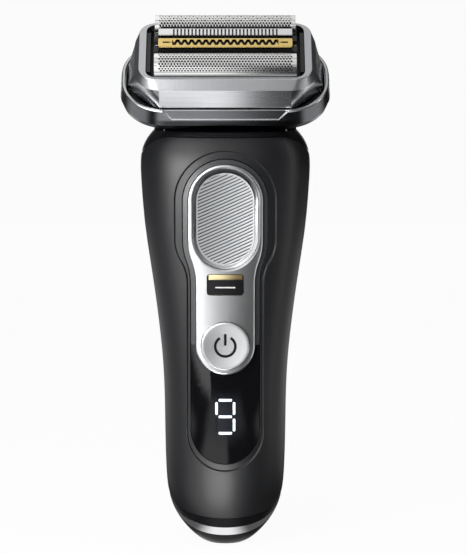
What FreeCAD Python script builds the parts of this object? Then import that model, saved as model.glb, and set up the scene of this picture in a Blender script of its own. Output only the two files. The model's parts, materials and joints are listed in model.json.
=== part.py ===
"""Foil shaver: a tapered handle with a tilting head and a lift-off cassette of two foils and two combs.

Millimetres, +Z up, -Y is the front with the controls.  The origin is on the standing surface, under the
middle of the whole shaver.  The head is drawn upright about its tilt axis and then leaned forward.
"""
import FreeCAD
import Part
import math
import os

V = FreeCAD.Vector

# ---------------------------------------------------------------- driving dimensions
# Handle: control stations of (height, half width, front reach, back reach) about its middle plane.
# The surface is drawn towards them the way a spline follows its control points.  Foot stations stand
# at heights above the foot, crown stations at drops below the handle's top, and grip stations at shares
# of the length between the two.
HANDLE_TOP = 134.0
HANDLE_Y = 2.8
FOOT_STATIONS = [
    (0.0, 6.0, 8.4, 9.0),
    (0.3, 8.2, 10.6, 10.6),
    (5.3, 14.0, 14.4, 12.8),
    (13.5, 18.6, 15.4, 14.8),
]
GRIP_STATIONS = [
    (0.1122, 19.4, 15.5, 15.9),
    (0.2585, 19.6, 15.5, 16.3),
    (0.4146, 19.8, 15.3, 16.7),
    (0.5707, 21.4, 15.1, 17.1),
    (0.7268, 23.6, 15.2, 17.4),
    (0.8732, 26.0, 15.8, 17.5),
]
CROWN_STATIONS = [
    (18.0, 26.9, 16.8, 17.5),
    (9.5, 27.4, 17.4, 17.4),
    (4.5, 26.3, 17.0, 16.8),
    (1.7, 24.4, 16.0, 15.8),
    (0.0, 22.8, 14.6, 14.8),
]
SQUARENESS = 2.5
ROUND_POINTS = 12
WALL = 1.8
SEAM = 0.4
SPLIT_Y = HANDLE_Y + 2.0
SHOULDER = HANDLE_TOP - 8.0
SHOULDER_HALF = 27.0
REACH = 40.0
HOUSING_TOP = HANDLE_TOP - 1.6
HOUSING_FLAT = 15.5
HOUSING_EDGE = 0.3

# Slanted rims near the base: (height at the middle plane, rise per millimetre towards the back)
SHELL_RIM = (17.5, 0.54)
RING_TOP = (15.1, 0.60)
RING_BOTTOM = (12.3, 0.66)
RIM_GAP = 0.12
RING_DEPTH = 3.0
SPIGOT_WALL = 1.5
BAND_INSET = 0.3

# Thumb rest, near the top of the control panel
THUMB_DROP = 27.3
THUMB_HALF_WIDTH = 9.2
THUMB_STRAIGHT = 5.6
THUMB_GROOVE = 1.1
THUMB_BEVEL = 0.8
GROOVE_DEPTH = 0.45
RIB_PITCH = 0.98
RIB_DEPTH = 0.3
RIB_SLOPE = 24.0
THUMB_Z = HANDLE_TOP - THUMB_DROP

# Lock slider and its window, under the thumb rest
LOCK_GAP = 1.55
LOCK_HALF_WIDTH = 5.9
LOCK_HEIGHT = 6.9
LOCK_TRAVEL = 1.9
LOCK_SLIDER_HEIGHT = 4.8
GROOVE_BOTTOM = THUMB_Z - THUMB_STRAIGHT - THUMB_HALF_WIDTH - THUMB_GROOVE
LOCK_Z = GROOVE_BOTTOM - LOCK_GAP - LOCK_HEIGHT / 2

# Power button, under the lock
BUTTON_GAP = 8.45
BUTTON_R = 7.7
BUTTON_TRAVEL = 0.6
BUTTON_PROUD = 0.45
BUTTON_DISH = 0.35
BUTTON_EDGE = 0.35
ICON_R = 3.2
ICON_STROKE = 0.8
BUTTON_Z = LOCK_Z - LOCK_HEIGHT / 2 - BUTTON_GAP - BUTTON_R

# Lit numeral, under the button
DIGIT_DROP = 15.4
DIGIT_WIDTH = 5.6
DIGIT_HEIGHT = 10.7
SEGMENT_WIDTH = 0.8
SEGMENT_GAP = 0.25
DIGIT_Z = BUTTON_Z - BUTTON_R - DIGIT_DROP

# Control panel and its surround, outlines seen from the front
PANEL_RIM = 1.6
BUTTON_RIM = 1.7
PANEL_EDGE = 0.6
PANEL_PROUD = 0.9
PANEL_BACK = 1.1
SURROUND_BAND = 1.5
WINDOW_DROP = 4.5
DISH_BAND = 2.6
DISH_DEPTH = 0.5
DISH_EDGE = 0.25
FIT = 0.1
PANEL_UPPER = THUMB_HALF_WIDTH + THUMB_GROOVE + PANEL_RIM
PANEL_LOWER = BUTTON_R + BUTTON_RIM
PANEL_TOP_Z = THUMB_Z + THUMB_STRAIGHT
PANEL_SHOULDER_Z = THUMB_Z - THUMB_STRAIGHT - THUMB_GROOVE
PANEL_WAIST_Z = LOCK_Z + 0.2
WINDOW_BOTTOM_Z = DIGIT_Z - WINDOW_DROP

# Inside the handle
BOARD_FRONT_Y = HANDLE_Y - 8.6
BOARD_T = 1.2
CELL_R = 7.0
CELL_LENGTH = 50.0
CELL_BOTTOM = 27.0
CELL_Y = HANDLE_Y + 3.3
SCREW_R = 1.1
SCREW_LOW = (10.9, DIGIT_Z - 7.1)
SCREW_HIGH = (14.3, LOCK_Z + 6.2)
SCREW_SPOTS = [(side * x, z) for x, z in (SCREW_LOW, SCREW_HIGH) for side in (-1, 1)]
BOARD_BOTTOM = CELL_BOTTOM - 1.0
BOARD_STEP_Z = BUTTON_Z + 13.8
BOARD_TOP = HANDLE_TOP - 18.0
BOARD_HALF_LOW = 12.8
BOARD_HALF_HIGH = 16.6
LAMP_HALF = 6.3

# Trimmer on the back
TRIM_FLOOR_Y = HANDLE_Y + 15.3
TRIM_HALF_WIDTH = 12.0
TRIM_GRIP_HALF = 10.0
TRIM_BOTTOM = HANDLE_TOP - 48.0
TRIM_COVER_BOTTOM = HANDLE_TOP - 21.0
TRIM_COVER_TOP = HANDLE_TOP - 3.5
TRIM_TIP = HANDLE_TOP - 1.0
TRIM_PROUD_Y = HANDLE_Y + 18.7
TRIM_GAP = 0.2

# Head: upright about the tilt axis, then leaned
HUB_R = 7.4
HUB_HALF = 19.4
HUB_SINK = 0.8
PIVOT = V(0, HANDLE_Y + 3.0, HANDLE_TOP + HUB_R - HUB_SINK)
HEAD_LEAN = 40.0
RING_HALF = (33.2, 16.4)
RING_CORNER = 14.5
RING_EDGE = 0.25
TRAY_DROP = 4.0
TRAY_HALF = 20.0
RELEASE_HALF = 5.0
ARM_T = 3.0
PIN_R = 1.5
ARM_HALF = 4.2
ARM_GAP = 0.3
CAP_FIT = 0.12
CAP_LOW = HANDLE_TOP - 3.6
LEAD_R = 1.6
LEAD_X = 9.0
FLOOR_W = 5.2
RIM_W = 13.7
RELEASE_LOW = FLOOR_W + 1.9
RELEASE_HIGH = FLOOR_W + 6.9
FRAME_BOTTOM_W = 13.4
FRAME_CREASE_W = 21.4
FRAME_TOP_W = 24.8
FRAME_EDGE = 0.35
FRAME_CORNER_CUT = 1.6
BASE_CORNER_CUT = 1.3
BAY_HALF = (RING_HALF[0] - 8.2, RING_HALF[1] - 5.4)
BAY_CORNER = 7.2
BAY_TOP_W = 16.4
COVER_T = 1.0
BRIDGE_TRAVEL = 1.2

# Cutting elements
FOIL_TOP_W = 30.9
FOIL_R = 3.0
FOIL_T = 0.15
FOIL_V = 8.8
FOIL_HALF = RING_HALF[0] - 11.1
FOIL_LEG = 3.0
FOIL_CARRIER_T = 1.1
FOIL_FIT = 0.2
FLOAT = 1.6
COMB_FLOAT = 1.5
CUTTER_HALF = FOIL_HALF - 3.9
BLADE_PITCH = 1.25
BLADE_T = 0.35
LIFT_V = -2.35
LIFT_WIDTH = 4.1
DIRECT_V = 2.75
DIRECT_WIDTH = 3.1
COMB_TOP_W = 30.6
DIRECT_TOP_W = 30.5
LIFT_PITCH = 1.1
LIFT_SLOT = 0.6
LIFT_SLOT_HALF = 1.25
LIFT_SLANT = 24.0
COMB_CORNER = 0.8
DIRECT_PITCH = 1.15
COMB_CAP_T = 0.9
COMB_DEPTH = 4.6
COMB_HALF = FOIL_HALF - 1.2
COMB_TAB = 1.5
SLOT_SPAN = COMB_HALF - 4.6
DRIVE_PIN_R = 0.8
PIN_TOP_W = 24.0
RUN = 0.12
SHELF_W = 20.7
SPRING_WIRE_R = 0.16
SPRING_R = 0.9

# The cassette's opening holds the foils; its corners clear the foil carriers.
OPENING_HALF = (RING_HALF[0] - 8.3, FOIL_V + FOIL_R + FOIL_FIT)
OPENING_CORNER = 3.0
CARRIER_OVERHANG = 0.4

OUT = "parts"


# ---------------------------------------------------------------- small helpers
def box(x0, x1, y0, y1, z0, z1):
    return Part.makeBox(x1 - x0, y1 - y0, z1 - z0, V(x0, y0, z0))


def rod(radius, start, end):
    along = end - start
    return Part.makeCylinder(radius, along.Length, start, along)


def fuse(shapes):
    whole = shapes[0].multiFuse(shapes[1:]) if len(shapes) > 1 else shapes[0]
    return whole.removeSplitter()


def both_sides(shape):
    """The shape and its mirror image across the middle plane."""
    return [shape, shape.mirror(V(0, 0, 0), V(1, 0, 0))]


def rounded_rect(half_x, half_y, radius, z, centre_y=0.0, cut=1.0):
    """Closed wire at height z: four straight sides and four corner arcs, flattened by a cut above 1."""
    edges = []
    corner = radius * (1 - math.sqrt(0.5)) * cut
    for sx, sy in ((1, 1), (-1, 1), (-1, -1), (1, -1)):
        side = V(sx * half_x, centre_y + sy * (half_y - radius), z)
        end = V(sx * (half_x - radius), centre_y + sy * half_y, z)
        middle = V(sx * (half_x - corner), centre_y + sy * (half_y - corner), z)
        start, stop = (side, end) if sx * sy > 0 else (end, side)
        if edges:
            edges.append(Part.makeLine(edges[-1].Vertexes[-1].Point, start))
        edges.append(Part.Arc(start, middle, stop).toShape())
    edges.append(Part.makeLine(edges[-1].Vertexes[-1].Point, edges[0].Vertexes[0].Point))
    return Part.Wire(edges)


def block(half_x, half_y, radius, z0, z1, centre_y=0.0):
    face = Part.Face(rounded_rect(half_x, half_y, radius, z0, centre_y))
    return face.extrude(V(0, 0, z1 - z0))


def stadium(half_width, straight, z, y0, y1):
    """Upright slot shape in the front view, extruded from y0 to y1."""
    low, high = z - straight, z + straight
    r = half_width
    wire = Part.Wire([
        Part.makeLine(V(r, y0, low), V(r, y0, high)),
        Part.Arc(V(r, y0, high), V(0, y0, high + r), V(-r, y0, high)).toShape(),
        Part.makeLine(V(-r, y0, high), V(-r, y0, low)),
        Part.Arc(V(-r, y0, low), V(0, y0, low - r), V(r, y0, low)).toShape(),
    ])
    return Part.Face(wire).extrude(V(0, y1 - y0, 0))


def front_plate(half_width, z0, z1, radius, y0, y1):
    """Rounded rectangle in the front view, extruded from y0 to y1."""
    height = (z1 - z0) / 2
    plate = block(half_width, height, radius, 0, y1 - y0)
    plate.rotate(V(0, 0, 0), V(1, 0, 0), 90)
    plate.translate(V(0, y1, z0 + height))
    return plate


# ---------------------------------------------------------------- handle surface
def control_ring(station, inset):
    """Control points round one station: a superellipse, pushed out so the surface touches its size."""
    z, half, front, back = station
    power = 2 / SQUARENESS
    step = 2 * math.pi / ROUND_POINTS
    push = 6 / (4 + 2 * math.cos(step) ** power)
    ring = []
    for k in range(ROUND_POINTS):
        c, s = math.cos(k * step), math.sin(k * step)
        reach = (back if s > 0 else front) - inset
        x = (half - inset) * push * math.copysign(abs(c) ** power, c)
        y = reach * push * math.copysign(abs(s) ** power, s)
        ring.append(V(x, HANDLE_Y + y, z))
    return ring


def stations():
    """Every control station with its height above the foot, from the foot to the crown."""
    foot_end = FOOT_STATIONS[-1][0]
    grip = HANDLE_TOP - CROWN_STATIONS[0][0] - foot_end
    rows = list(FOOT_STATIONS)
    rows += [(foot_end + share * grip, *sizes) for share, *sizes in GRIP_STATIONS]
    rows += [(HANDLE_TOP - drop, *sizes) for drop, *sizes in CROWN_STATIONS]
    return rows


_bodies = {}


def handle_body(inset):
    """The handle's outer form, drawn in by inset on every side; negative stands proud."""
    if inset not in _bodies:
        rings = [control_ring(station, inset) for station in stations()]
        around = list(range(ROUND_POINTS + 1))
        along = list(range(len(rings) - 2))
        ends = [4] + [1] * (len(along) - 2) + [4]
        surface = Part.BSplineSurface()
        surface.buildFromPolesMultsKnots(
            [list(column) for column in zip(*rings)],
            [1] * len(around), ends, around, along, True, False, 3, 3)
        side = surface.toShape()
        lids = []
        for z in (rings[0][0].z, rings[-1][0].z):
            rim = [e for e in side.Edges
                   if abs(e.BoundBox.ZMin - z) < 1e-4 and abs(e.BoundBox.ZMax - z) < 1e-4]
            lids.append(Part.Face(Part.Wire(rim)))
        shell = Part.makeShell([side] + lids)
        shell.sewShape()
        _bodies[inset] = Part.makeSolid(shell)
    return _bodies[inset]


def front_skin(outer, inner, z0, z1):
    """Layer of the handle's front between two insets."""
    slab = box(-REACH, REACH, HANDLE_Y - REACH, SPLIT_Y, z0, z1)
    return handle_body(outer).common(slab).cut(handle_body(inner))


def on_skin(shape, inset):
    """Edges of a shape that lie in the handle's surface at this inset."""
    side = max(handle_body(inset).Faces, key=lambda f: f.Area)
    found = []
    for e in shape.Edges:
        point = e.valueAt((e.FirstParameter + e.LastParameter) / 2)
        if e.Length > 0.5 and side.distToShape(Part.Vertex(point))[0] < 0.01:
            found.append(e)
    return found


def below(rim, drop=0.0):
    """Everything under a slanted rim, lowered by drop."""
    height, slope = rim
    z = height - drop
    face = Part.Face(Part.makePolygon([
        V(-REACH, HANDLE_Y - REACH, -REACH),
        V(-REACH, HANDLE_Y + REACH, -REACH),
        V(-REACH, HANDLE_Y + REACH, z + slope * REACH),
        V(-REACH, HANDLE_Y - REACH, z - slope * REACH),
        V(-REACH, HANDLE_Y - REACH, -REACH),
    ]))
    return face.extrude(V(2 * REACH, 0, 0))


def shell_profile(grow):
    """The housings' front view: straight sides and a top that falls away in two corners."""
    side = SHOULDER_HALF + 3
    edge = SHOULDER_HALF + grow
    flat = HOUSING_FLAT
    top = HOUSING_TOP + grow
    low = SHOULDER + grow
    knee = V((flat + edge) / 2 + 1.8, 0, (top + low) / 2 + 1.4)
    wire = Part.Wire([
        Part.makeLine(V(-side, 0, -1), V(side, 0, -1)),
        Part.makeLine(V(side, 0, -1), V(side, 0, low)),
        Part.makeLine(V(side, 0, low), V(edge, 0, low)),
        Part.Arc(V(edge, 0, low), knee, V(flat, 0, top)).toShape(),
        Part.makeLine(V(flat, 0, top), V(-flat, 0, top)),
        Part.Arc(V(-flat, 0, top), V(-knee.x, 0, knee.z), V(-edge, 0, low)).toShape(),
        Part.makeLine(V(-edge, 0, low), V(-side, 0, low)),
        Part.makeLine(V(-side, 0, low), V(-side, 0, -1)),
    ])
    prism = Part.Face(wire).extrude(V(0, 80, 0))
    prism.translate(V(0, -40, 0))
    return prism


def keyhole(upper, lower, bottom_z, y0, y1):
    """Front view outline: round top, waist between the thumb rest and the button, round foot."""
    bend = ((PANEL_SHOULDER_Z - PANEL_WAIST_Z) ** 2 + (upper - lower) ** 2) / (4 * (upper - lower))
    half_turn = math.asin((PANEL_SHOULDER_Z - PANEL_WAIST_Z) / 2 / bend) / 2
    reach = bend * (1 - math.cos(half_turn))
    drop = bend * math.sin(half_turn)
    middle_z = (PANEL_SHOULDER_Z + PANEL_WAIST_Z) / 2
    middle_x = (upper + lower) / 2

    def flank(sign):
        return [
            V(sign * upper, y0, PANEL_TOP_Z),
            V(sign * upper, y0, PANEL_SHOULDER_Z),
            V(sign * (upper - reach), y0, PANEL_SHOULDER_Z - drop),
            V(sign * middle_x, y0, middle_z),
            V(sign * (lower + reach), y0, PANEL_WAIST_Z + drop),
            V(sign * lower, y0, PANEL_WAIST_Z),
            V(sign * lower, y0, bottom_z),
        ]

    right, left = flank(1), flank(-1)
    wire = Part.Wire([
        Part.makeLine(right[0], right[1]),
        Part.Arc(right[1], right[2], right[3]).toShape(),
        Part.Arc(right[3], right[4], right[5]).toShape(),
        Part.makeLine(right[5], right[6]),
        Part.Arc(right[6], V(0, y0, bottom_z - lower), left[6]).toShape(),
        Part.makeLine(left[6], left[5]),
        Part.Arc(left[5], left[4], left[3]).toShape(),
        Part.Arc(left[3], left[2], left[1]).toShape(),
        Part.makeLine(left[1], left[0]),
        Part.Arc(left[0], V(0, y0, PANEL_TOP_Z + upper), right[0]).toShape(),
    ])
    return Part.Face(wire).extrude(V(0, y1 - y0, 0))


FRONT = HANDLE_Y - 24
BEHIND = HANDLE_Y - 5
SURROUND_UPPER = PANEL_UPPER + SURROUND_BAND
SURROUND_LOWER = PANEL_LOWER + SURROUND_BAND


def panel_outline(grow):
    return keyhole(PANEL_UPPER + grow, PANEL_LOWER + grow, BUTTON_Z, FRONT, BEHIND)


def surround_outline(grow):
    return keyhole(SURROUND_UPPER + grow, SURROUND_LOWER + grow, WINDOW_BOTTOM_Z, FRONT, BEHIND)


# ---------------------------------------------------------------- handle pieces
def front_housing():
    shell = handle_body(0).cut(handle_body(WALL))
    shell = shell.common(box(-REACH, REACH, -REACH, SPLIT_Y, 0, HANDLE_TOP)).common(shell_profile(0))
    shell = shell.cut(below(SHELL_RIM))
    dish = keyhole(SURROUND_UPPER + DISH_BAND, SURROUND_LOWER + 1.1, WINDOW_BOTTOM_Z - 1.2,
                   FRONT, BEHIND)
    dished = front_skin(-1, DISH_DEPTH, SHELL_RIM[0], HOUSING_TOP - 1).common(dish)
    shell = shell.cut(dished).cut(surround_outline(FIT))
    shell = shell.makeFillet(HOUSING_EDGE, on_skin(shell, 0))
    return shell.makeFillet(DISH_EDGE, on_skin(shell, DISH_DEPTH))


def rear_housing():
    shell = handle_body(0).cut(handle_body(WALL))
    rear = box(-REACH, REACH, SPLIT_Y + SEAM, REACH, 0, HANDLE_TOP)
    shell = shell.common(rear).common(shell_profile(0)).cut(below(SHELL_RIM))
    back_plate = box(-TRIM_HALF_WIDTH - 2, TRIM_HALF_WIDTH + 2, TRIM_FLOOR_Y - WALL, REACH,
                     TRIM_BOTTOM - 4, HOUSING_TOP)
    shell = fuse([shell, handle_body(0.4).common(back_plate).common(shell_profile(0))])
    pocket = [
        box(-TRIM_GRIP_HALF - TRIM_GAP, TRIM_GRIP_HALF + TRIM_GAP, TRIM_FLOOR_Y, REACH,
            TRIM_BOTTOM - 1.5, HANDLE_TOP),
        box(-TRIM_HALF_WIDTH - TRIM_GAP, TRIM_HALF_WIDTH + TRIM_GAP, TRIM_FLOOR_Y, REACH,
            TRIM_COVER_BOTTOM - TRIM_GAP, HANDLE_TOP),
    ]
    shell = shell.cut(fuse(pocket))
    bosses = []
    for x, z in SCREW_SPOTS:
        post = rod(2.6, V(x, BOARD_FRONT_Y + BOARD_T + 1.7, z), V(x, TRIM_FLOOR_Y - 1, z))
        bosses.append(post.common(handle_body(WALL - 0.3)))
    shell = fuse([shell] + bosses)
    for x, z in SCREW_SPOTS:
        shell = shell.cut(rod(SCREW_R + 0.02, V(x, -10, z), V(x, BOARD_FRONT_Y + 11, z)))
    return shell


def top_cap():
    """Closes the handle and carries the two arms that hold the head."""
    crown = handle_body(0).cut(shell_profile(CAP_FIT))
    crown = crown.common(box(-REACH, REACH, -REACH, REACH, SHOULDER - 1, HANDLE_TOP))
    inner = handle_body(WALL + CAP_FIT)
    plug = inner.common(box(-REACH, REACH, -REACH, REACH, CAP_LOW, HANDLE_TOP))
    back_y = TRIM_FLOOR_Y - WALL - 0.2
    cap = fuse([crown, plug.cut(box(-REACH, REACH, back_y, REACH, SHOULDER - 6, PIVOT.z))])
    end = HUB_HALF + ARM_GAP
    cap = cap.cut(rod(HUB_R + 0.5, V(-end, PIVOT.y, PIVOT.z), V(end, PIVOT.y, PIVOT.z)))
    slide = TRIM_HALF_WIDTH + 2.2
    cap = cap.cut(box(-slide, slide, back_y, REACH, SHOULDER - 6, PIVOT.z))
    arms = []
    for sign in (1, -1):
        x0, x1 = sorted((sign * end, sign * (end + ARM_T)))
        upright = box(x0, x1, PIVOT.y - ARM_HALF, PIVOT.y + ARM_HALF, HANDLE_TOP - 3, PIVOT.z)
        eye = rod(ARM_HALF, V(x0, PIVOT.y, PIVOT.z), V(x1, PIVOT.y, PIVOT.z))
        arms.append(fuse([upright, eye]))
    walls = shell_profile(CAP_FIT).cut(inner)
    cap = fuse([cap] + [arm.cut(walls) for arm in arms])
    cap = cap.cut(rod(PIN_R + 0.02, V(-30, PIVOT.y, PIVOT.z), V(30, PIVOT.y, PIVOT.z)))
    tooth_slot = box(-2.2, 2.2, PIVOT.y - 1.6, PIVOT.y + 1.6, SHOULDER - 6, PIVOT.z)
    lead_hole = rod(LEAD_R + 0.2, V(LEAD_X, PIVOT.y, SHOULDER - 6), V(LEAD_X, PIVOT.y, PIVOT.z))
    return cap.cut(fuse([tooth_slot, lead_hole]))


def control_panel():
    low, high = LOCK_Z - LOCK_HEIGHT / 2, LOCK_Z + LOCK_HEIGHT / 2
    plate = front_skin(-PANEL_PROUD, PANEL_BACK, DIGIT_Z, SHOULDER).common(panel_outline(0))
    groove = front_skin(-3, GROOVE_DEPTH, high, SHOULDER)
    groove = groove.common(stadium(THUMB_HALF_WIDTH + THUMB_GROOVE, THUMB_STRAIGHT, THUMB_Z,
                                   FRONT, BEHIND))
    plate = plate.makeFillet(PANEL_EDGE, on_skin(plate, -PANEL_PROUD))
    plate = plate.cut(groove)
    bowl = [e for e in on_skin(plate, -PANEL_PROUD) if inside_panel(e)]
    plate = plate.makeChamfer(THUMB_BEVEL, bowl)
    plate = plate.cut(front_plate(LOCK_HALF_WIDTH, low, high, 1.0, FRONT, BEHIND))
    seat = front_skin(0.5, 3, low - 4, high + 4)
    seat = seat.common(front_plate(LOCK_HALF_WIDTH + 0.8, low - 0.8, high + 0.8, 1.0, FRONT, BEHIND))
    plate = plate.cut(seat)
    return plate.cut(rod(BUTTON_R + 0.15, V(0, FRONT, BUTTON_Z), V(0, BEHIND, BUTTON_Z)))


def inside_panel(edge):
    """Whether an edge of the panel's face belongs to the thumb rest's bowl, not to the outer rim."""
    half = THUMB_HALF_WIDTH + THUMB_GROOVE + 0.2
    around = edge.BoundBox
    wide = max(-around.XMin, around.XMax)
    return wide < half and around.ZMin > GROOVE_BOTTOM - 0.2 and around.ZMax < PANEL_TOP_Z + half


def thumb_rest():
    pad = front_skin(-0.15, GROOVE_DEPTH - 0.12, LOCK_Z, SHOULDER)
    pad = pad.common(stadium(THUMB_HALF_WIDTH, THUMB_STRAIGHT, THUMB_Z, FRONT, BEHIND))
    field = front_skin(-3, RIB_DEPTH - 0.15, LOCK_Z, SHOULDER)
    field = field.common(stadium(THUMB_HALF_WIDTH - 0.5, THUMB_STRAIGHT, THUMB_Z, FRONT, BEHIND))
    count = int((THUMB_STRAIGHT + THUMB_HALF_WIDTH + 4) / RIB_PITCH)
    bars = []
    for k in range(-count, count + 1):
        z = k * RIB_PITCH
        bars.append(box(-20, 20, FRONT, BEHIND, z - RIB_PITCH * 0.2, z + RIB_PITCH * 0.2))
    bars = Part.makeCompound(bars)
    bars.rotate(V(0, 0, 0), V(0, 1, 0), -RIB_SLOPE)
    bars.translate(V(0, 0, THUMB_Z))
    return pad.cut(field.common(bars))


def panel_surround():
    ring = front_skin(0.1, WALL + 0.1, BUTTON_Z + 0.05, SHOULDER + 2).common(surround_outline(0))
    ring = ring.cut(front_skin(-3, PANEL_BACK + 0.08, DIGIT_Z, SHOULDER + 2).common(panel_outline(FIT)))
    low, high = LOCK_Z - LOCK_HEIGHT / 2, LOCK_Z + LOCK_HEIGHT / 2
    openings = fuse([
        rod(BUTTON_R + 0.4, V(0, FRONT, BUTTON_Z), V(0, BEHIND, BUTTON_Z)),
        box(-LOCK_HALF_WIDTH, LOCK_HALF_WIDTH, FRONT, BEHIND, low, high + LOCK_TRAVEL),
    ])
    return ring.cut(openings)


def display_window():
    low = WINDOW_BOTTOM_Z - 2 * SURROUND_LOWER
    lens = front_skin(0.22, WALL + 0.1, low, BUTTON_Z - 0.05).common(surround_outline(0))
    lens = lens.cut(panel_outline(FIT))
    return lens.cut(digit_shape(0.06))


def digit_shape(grow):
    """Seven bars of one numeral, set into the window's face."""
    half_w, half_h = DIGIT_WIDTH / 2, DIGIT_HEIGHT / 2
    short = SEGMENT_WIDTH / 2 + SEGMENT_GAP
    long_x, long_z = half_w - short, half_h / 2 - short
    bars = []
    for z in (-half_h, 0, half_h):
        bars.append((0, z, long_x, SEGMENT_WIDTH / 2))
    for x in (-half_w, half_w):
        for z in (-half_h / 2, half_h / 2):
            bars.append((x, z, SEGMENT_WIDTH / 2, long_z))
    shapes = []
    for x, z, a, b in bars:
        plate = front_plate(a + grow, z - b - grow, z + b + grow, SEGMENT_WIDTH / 2 - 0.05,
                            FRONT, BEHIND)
        plate.translate(V(x, 0, 0))
        shapes.append(plate)
    digits = Part.makeCompound(shapes)
    digits.translate(V(0, 0, DIGIT_Z))
    return digits


def display_digit():
    return front_skin(0.18, 1.2, DIGIT_Z - DIGIT_HEIGHT, DIGIT_Z + DIGIT_HEIGHT).common(digit_shape(0))


def lock_pieces():
    low, high = LOCK_Z - LOCK_HEIGHT / 2, LOCK_Z + LOCK_HEIGHT / 2
    well = front_skin(0.6, 1.0, low - 3, high + 3)
    well = well.common(front_plate(LOCK_HALF_WIDTH + 0.6, low - 0.6, high + 0.6, 0.8, FRONT, BEHIND))
    tail_low = low + 1.0
    well = well.cut(box(-2.2, 2.2, FRONT, BEHIND, tail_low - 0.15, tail_low + 1.8 + LOCK_TRAVEL + 0.15))
    slider = front_skin(-0.3, 0.45, low - 2, high + 2)
    slider = slider.common(front_plate(LOCK_HALF_WIDTH - 0.12, low + 0.12,
                                       low + 0.12 + LOCK_SLIDER_HEIGHT, 0.8, FRONT, BEHIND))
    tail_back = HANDLE_Y - 12.6
    tail = box(-2.0, 2.0, HANDLE_Y - 16, tail_back, tail_low, tail_low + 1.8)
    tail = tail.common(handle_body(0.2))
    slider = fuse([slider, tail])
    rod_top = HANDLE_TOP - 7.0
    strip = fuse([
        box(-1.5, 1.5, tail_back, tail_back + 0.9, tail_low, rod_top),
        box(-1.5, 1.5, tail_back, PIVOT.y + 1.0, rod_top - 1.2, rod_top),
        box(-1.5, 1.5, PIVOT.y - 1.0, PIVOT.y + 1.0, rod_top - 1.2, PIVOT.z - HUB_R - 2.2),
    ])
    return well, slider, strip


def button_front():
    """Where the button's flat face stands: just proud of the panel's crown."""
    crown = handle_body(-PANEL_PROUD).common(rod(1, V(0, FRONT, BUTTON_Z), V(0, BEHIND, BUTTON_Z)))
    return crown.BoundBox.YMin - BUTTON_PROUD


def power_pieces():
    face_y = button_front()
    switch_top = BOARD_FRONT_Y - 4.1
    cap = rod(BUTTON_R, V(0, face_y, BUTTON_Z), V(0, face_y + 2.2, BUTTON_Z))
    cap = cap.cut(button_dish(face_y, 0))
    rims = [e for e in cap.Edges if e.BoundBox.YMax < face_y + 0.01 and e.BoundBox.XLength > BUTTON_R]
    cap = cap.makeFillet(BUTTON_EDGE, [max(rims, key=lambda e: e.Length)])
    stem = rod(2.2, V(0, face_y + 1, BUTTON_Z), V(0, switch_top - BUTTON_TRAVEL - 0.08, BUTTON_Z))
    button = fuse([cap, stem]).cut(power_icon(0.03, face_y))
    icon = power_icon(0, face_y).cut(button_dish(face_y, 0.02))
    return button, icon


def button_dish(face_y, proud):
    """Ball that hollows the button's face; proud lifts its foot towards the front."""
    rim = BUTTON_R - BUTTON_EDGE - 0.5
    ball = (rim ** 2 + BUTTON_DISH ** 2) / (2 * BUTTON_DISH)
    centre = face_y + BUTTON_DISH - ball - proud
    return Part.makeSphere(ball, V(0, centre, BUTTON_Z))


def power_icon(grow, face_y):
    """Open ring and bar, inlaid in the button's face; grow widens it into its own recess."""
    gap = math.radians(32)
    half = ICON_STROKE / 2 + grow
    depth = BUTTON_DISH + 0.3 + grow
    ring = Part.makeCylinder(ICON_R + half, depth, V(0, 0, 0), V(0, 1, 0))
    ring = ring.cut(Part.makeCylinder(ICON_R - half, depth, V(0, 0, 0), V(0, 1, 0)))
    notch = Part.Face(Part.makePolygon([
        V(0, 0, grow), V(6 * math.sin(gap), 0, 6 * math.cos(gap)), V(0, 0, 9),
        V(-6 * math.sin(gap), 0, 6 * math.cos(gap)), V(0, 0, grow),
    ])).extrude(V(0, depth, 0))
    bar = front_plate(half, 0.3 - grow, ICON_R + 0.8 + grow, 0.2, 0, depth)
    icon = Part.makeCompound([ring.cut(notch), bar])
    icon.translate(V(0, face_y - 0.02, BUTTON_Z))
    return icon


def bottom_pieces():
    skin = handle_body(0).cut(handle_body(RING_DEPTH))
    lower, middle, upper = below(RING_BOTTOM), below(RING_TOP), below(SHELL_RIM)
    band = handle_body(BAND_INSET).cut(handle_body(RING_DEPTH))
    band = band.common(below(SHELL_RIM, RIM_GAP)).cut(middle)
    ring = skin.common(below(RING_TOP, RIM_GAP)).cut(lower)
    cap = handle_body(0).common(below(RING_BOTTOM, RIM_GAP))
    spigot_top = (SHELL_RIM[0] + 3, SHELL_RIM[1])
    spigot = handle_body(RING_DEPTH + 0.12).cut(handle_body(RING_DEPTH + SPIGOT_WALL))
    spigot = spigot.common(below(spigot_top))
    hollow = handle_body(RING_DEPTH + SPIGOT_WALL).common(box(-40, 40, -40, 40, 12.5, 60))
    core = handle_body(RING_DEPTH + SPIGOT_WALL).common(box(-40, 40, -40, 40, 1, 12.5))
    cap = fuse([cap, spigot, core]).cut(hollow)
    socket = block(5.5, 3.5, 3.4, -1, 9.5, HANDLE_Y - 0.5)
    cap = cap.cut(socket)
    pins, contacts = [], []
    for x in (-2.6, 2.6):
        start = V(x, HANDLE_Y - 0.5, 4.6)
        pins.append(rod(0.9, start, V(x, HANDLE_Y - 0.5, 12.4)))
        cap = cap.cut(rod(0.92, start, V(x, HANDLE_Y - 0.5, 12.6)))
    for x in (-5.0, 5.0):
        run = rod(1.7, V(x, HANDLE_Y + 8, 8.6), V(x, 40, 8.6))
        contacts.append(run.common(handle_body(-0.1)))
        cap = cap.cut(rod(1.72, V(x, HANDLE_Y + 7.98, 8.6), V(x, 40, 8.6)))
    return band, ring, cap, Part.makeCompound(pins), Part.makeCompound(contacts)


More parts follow.
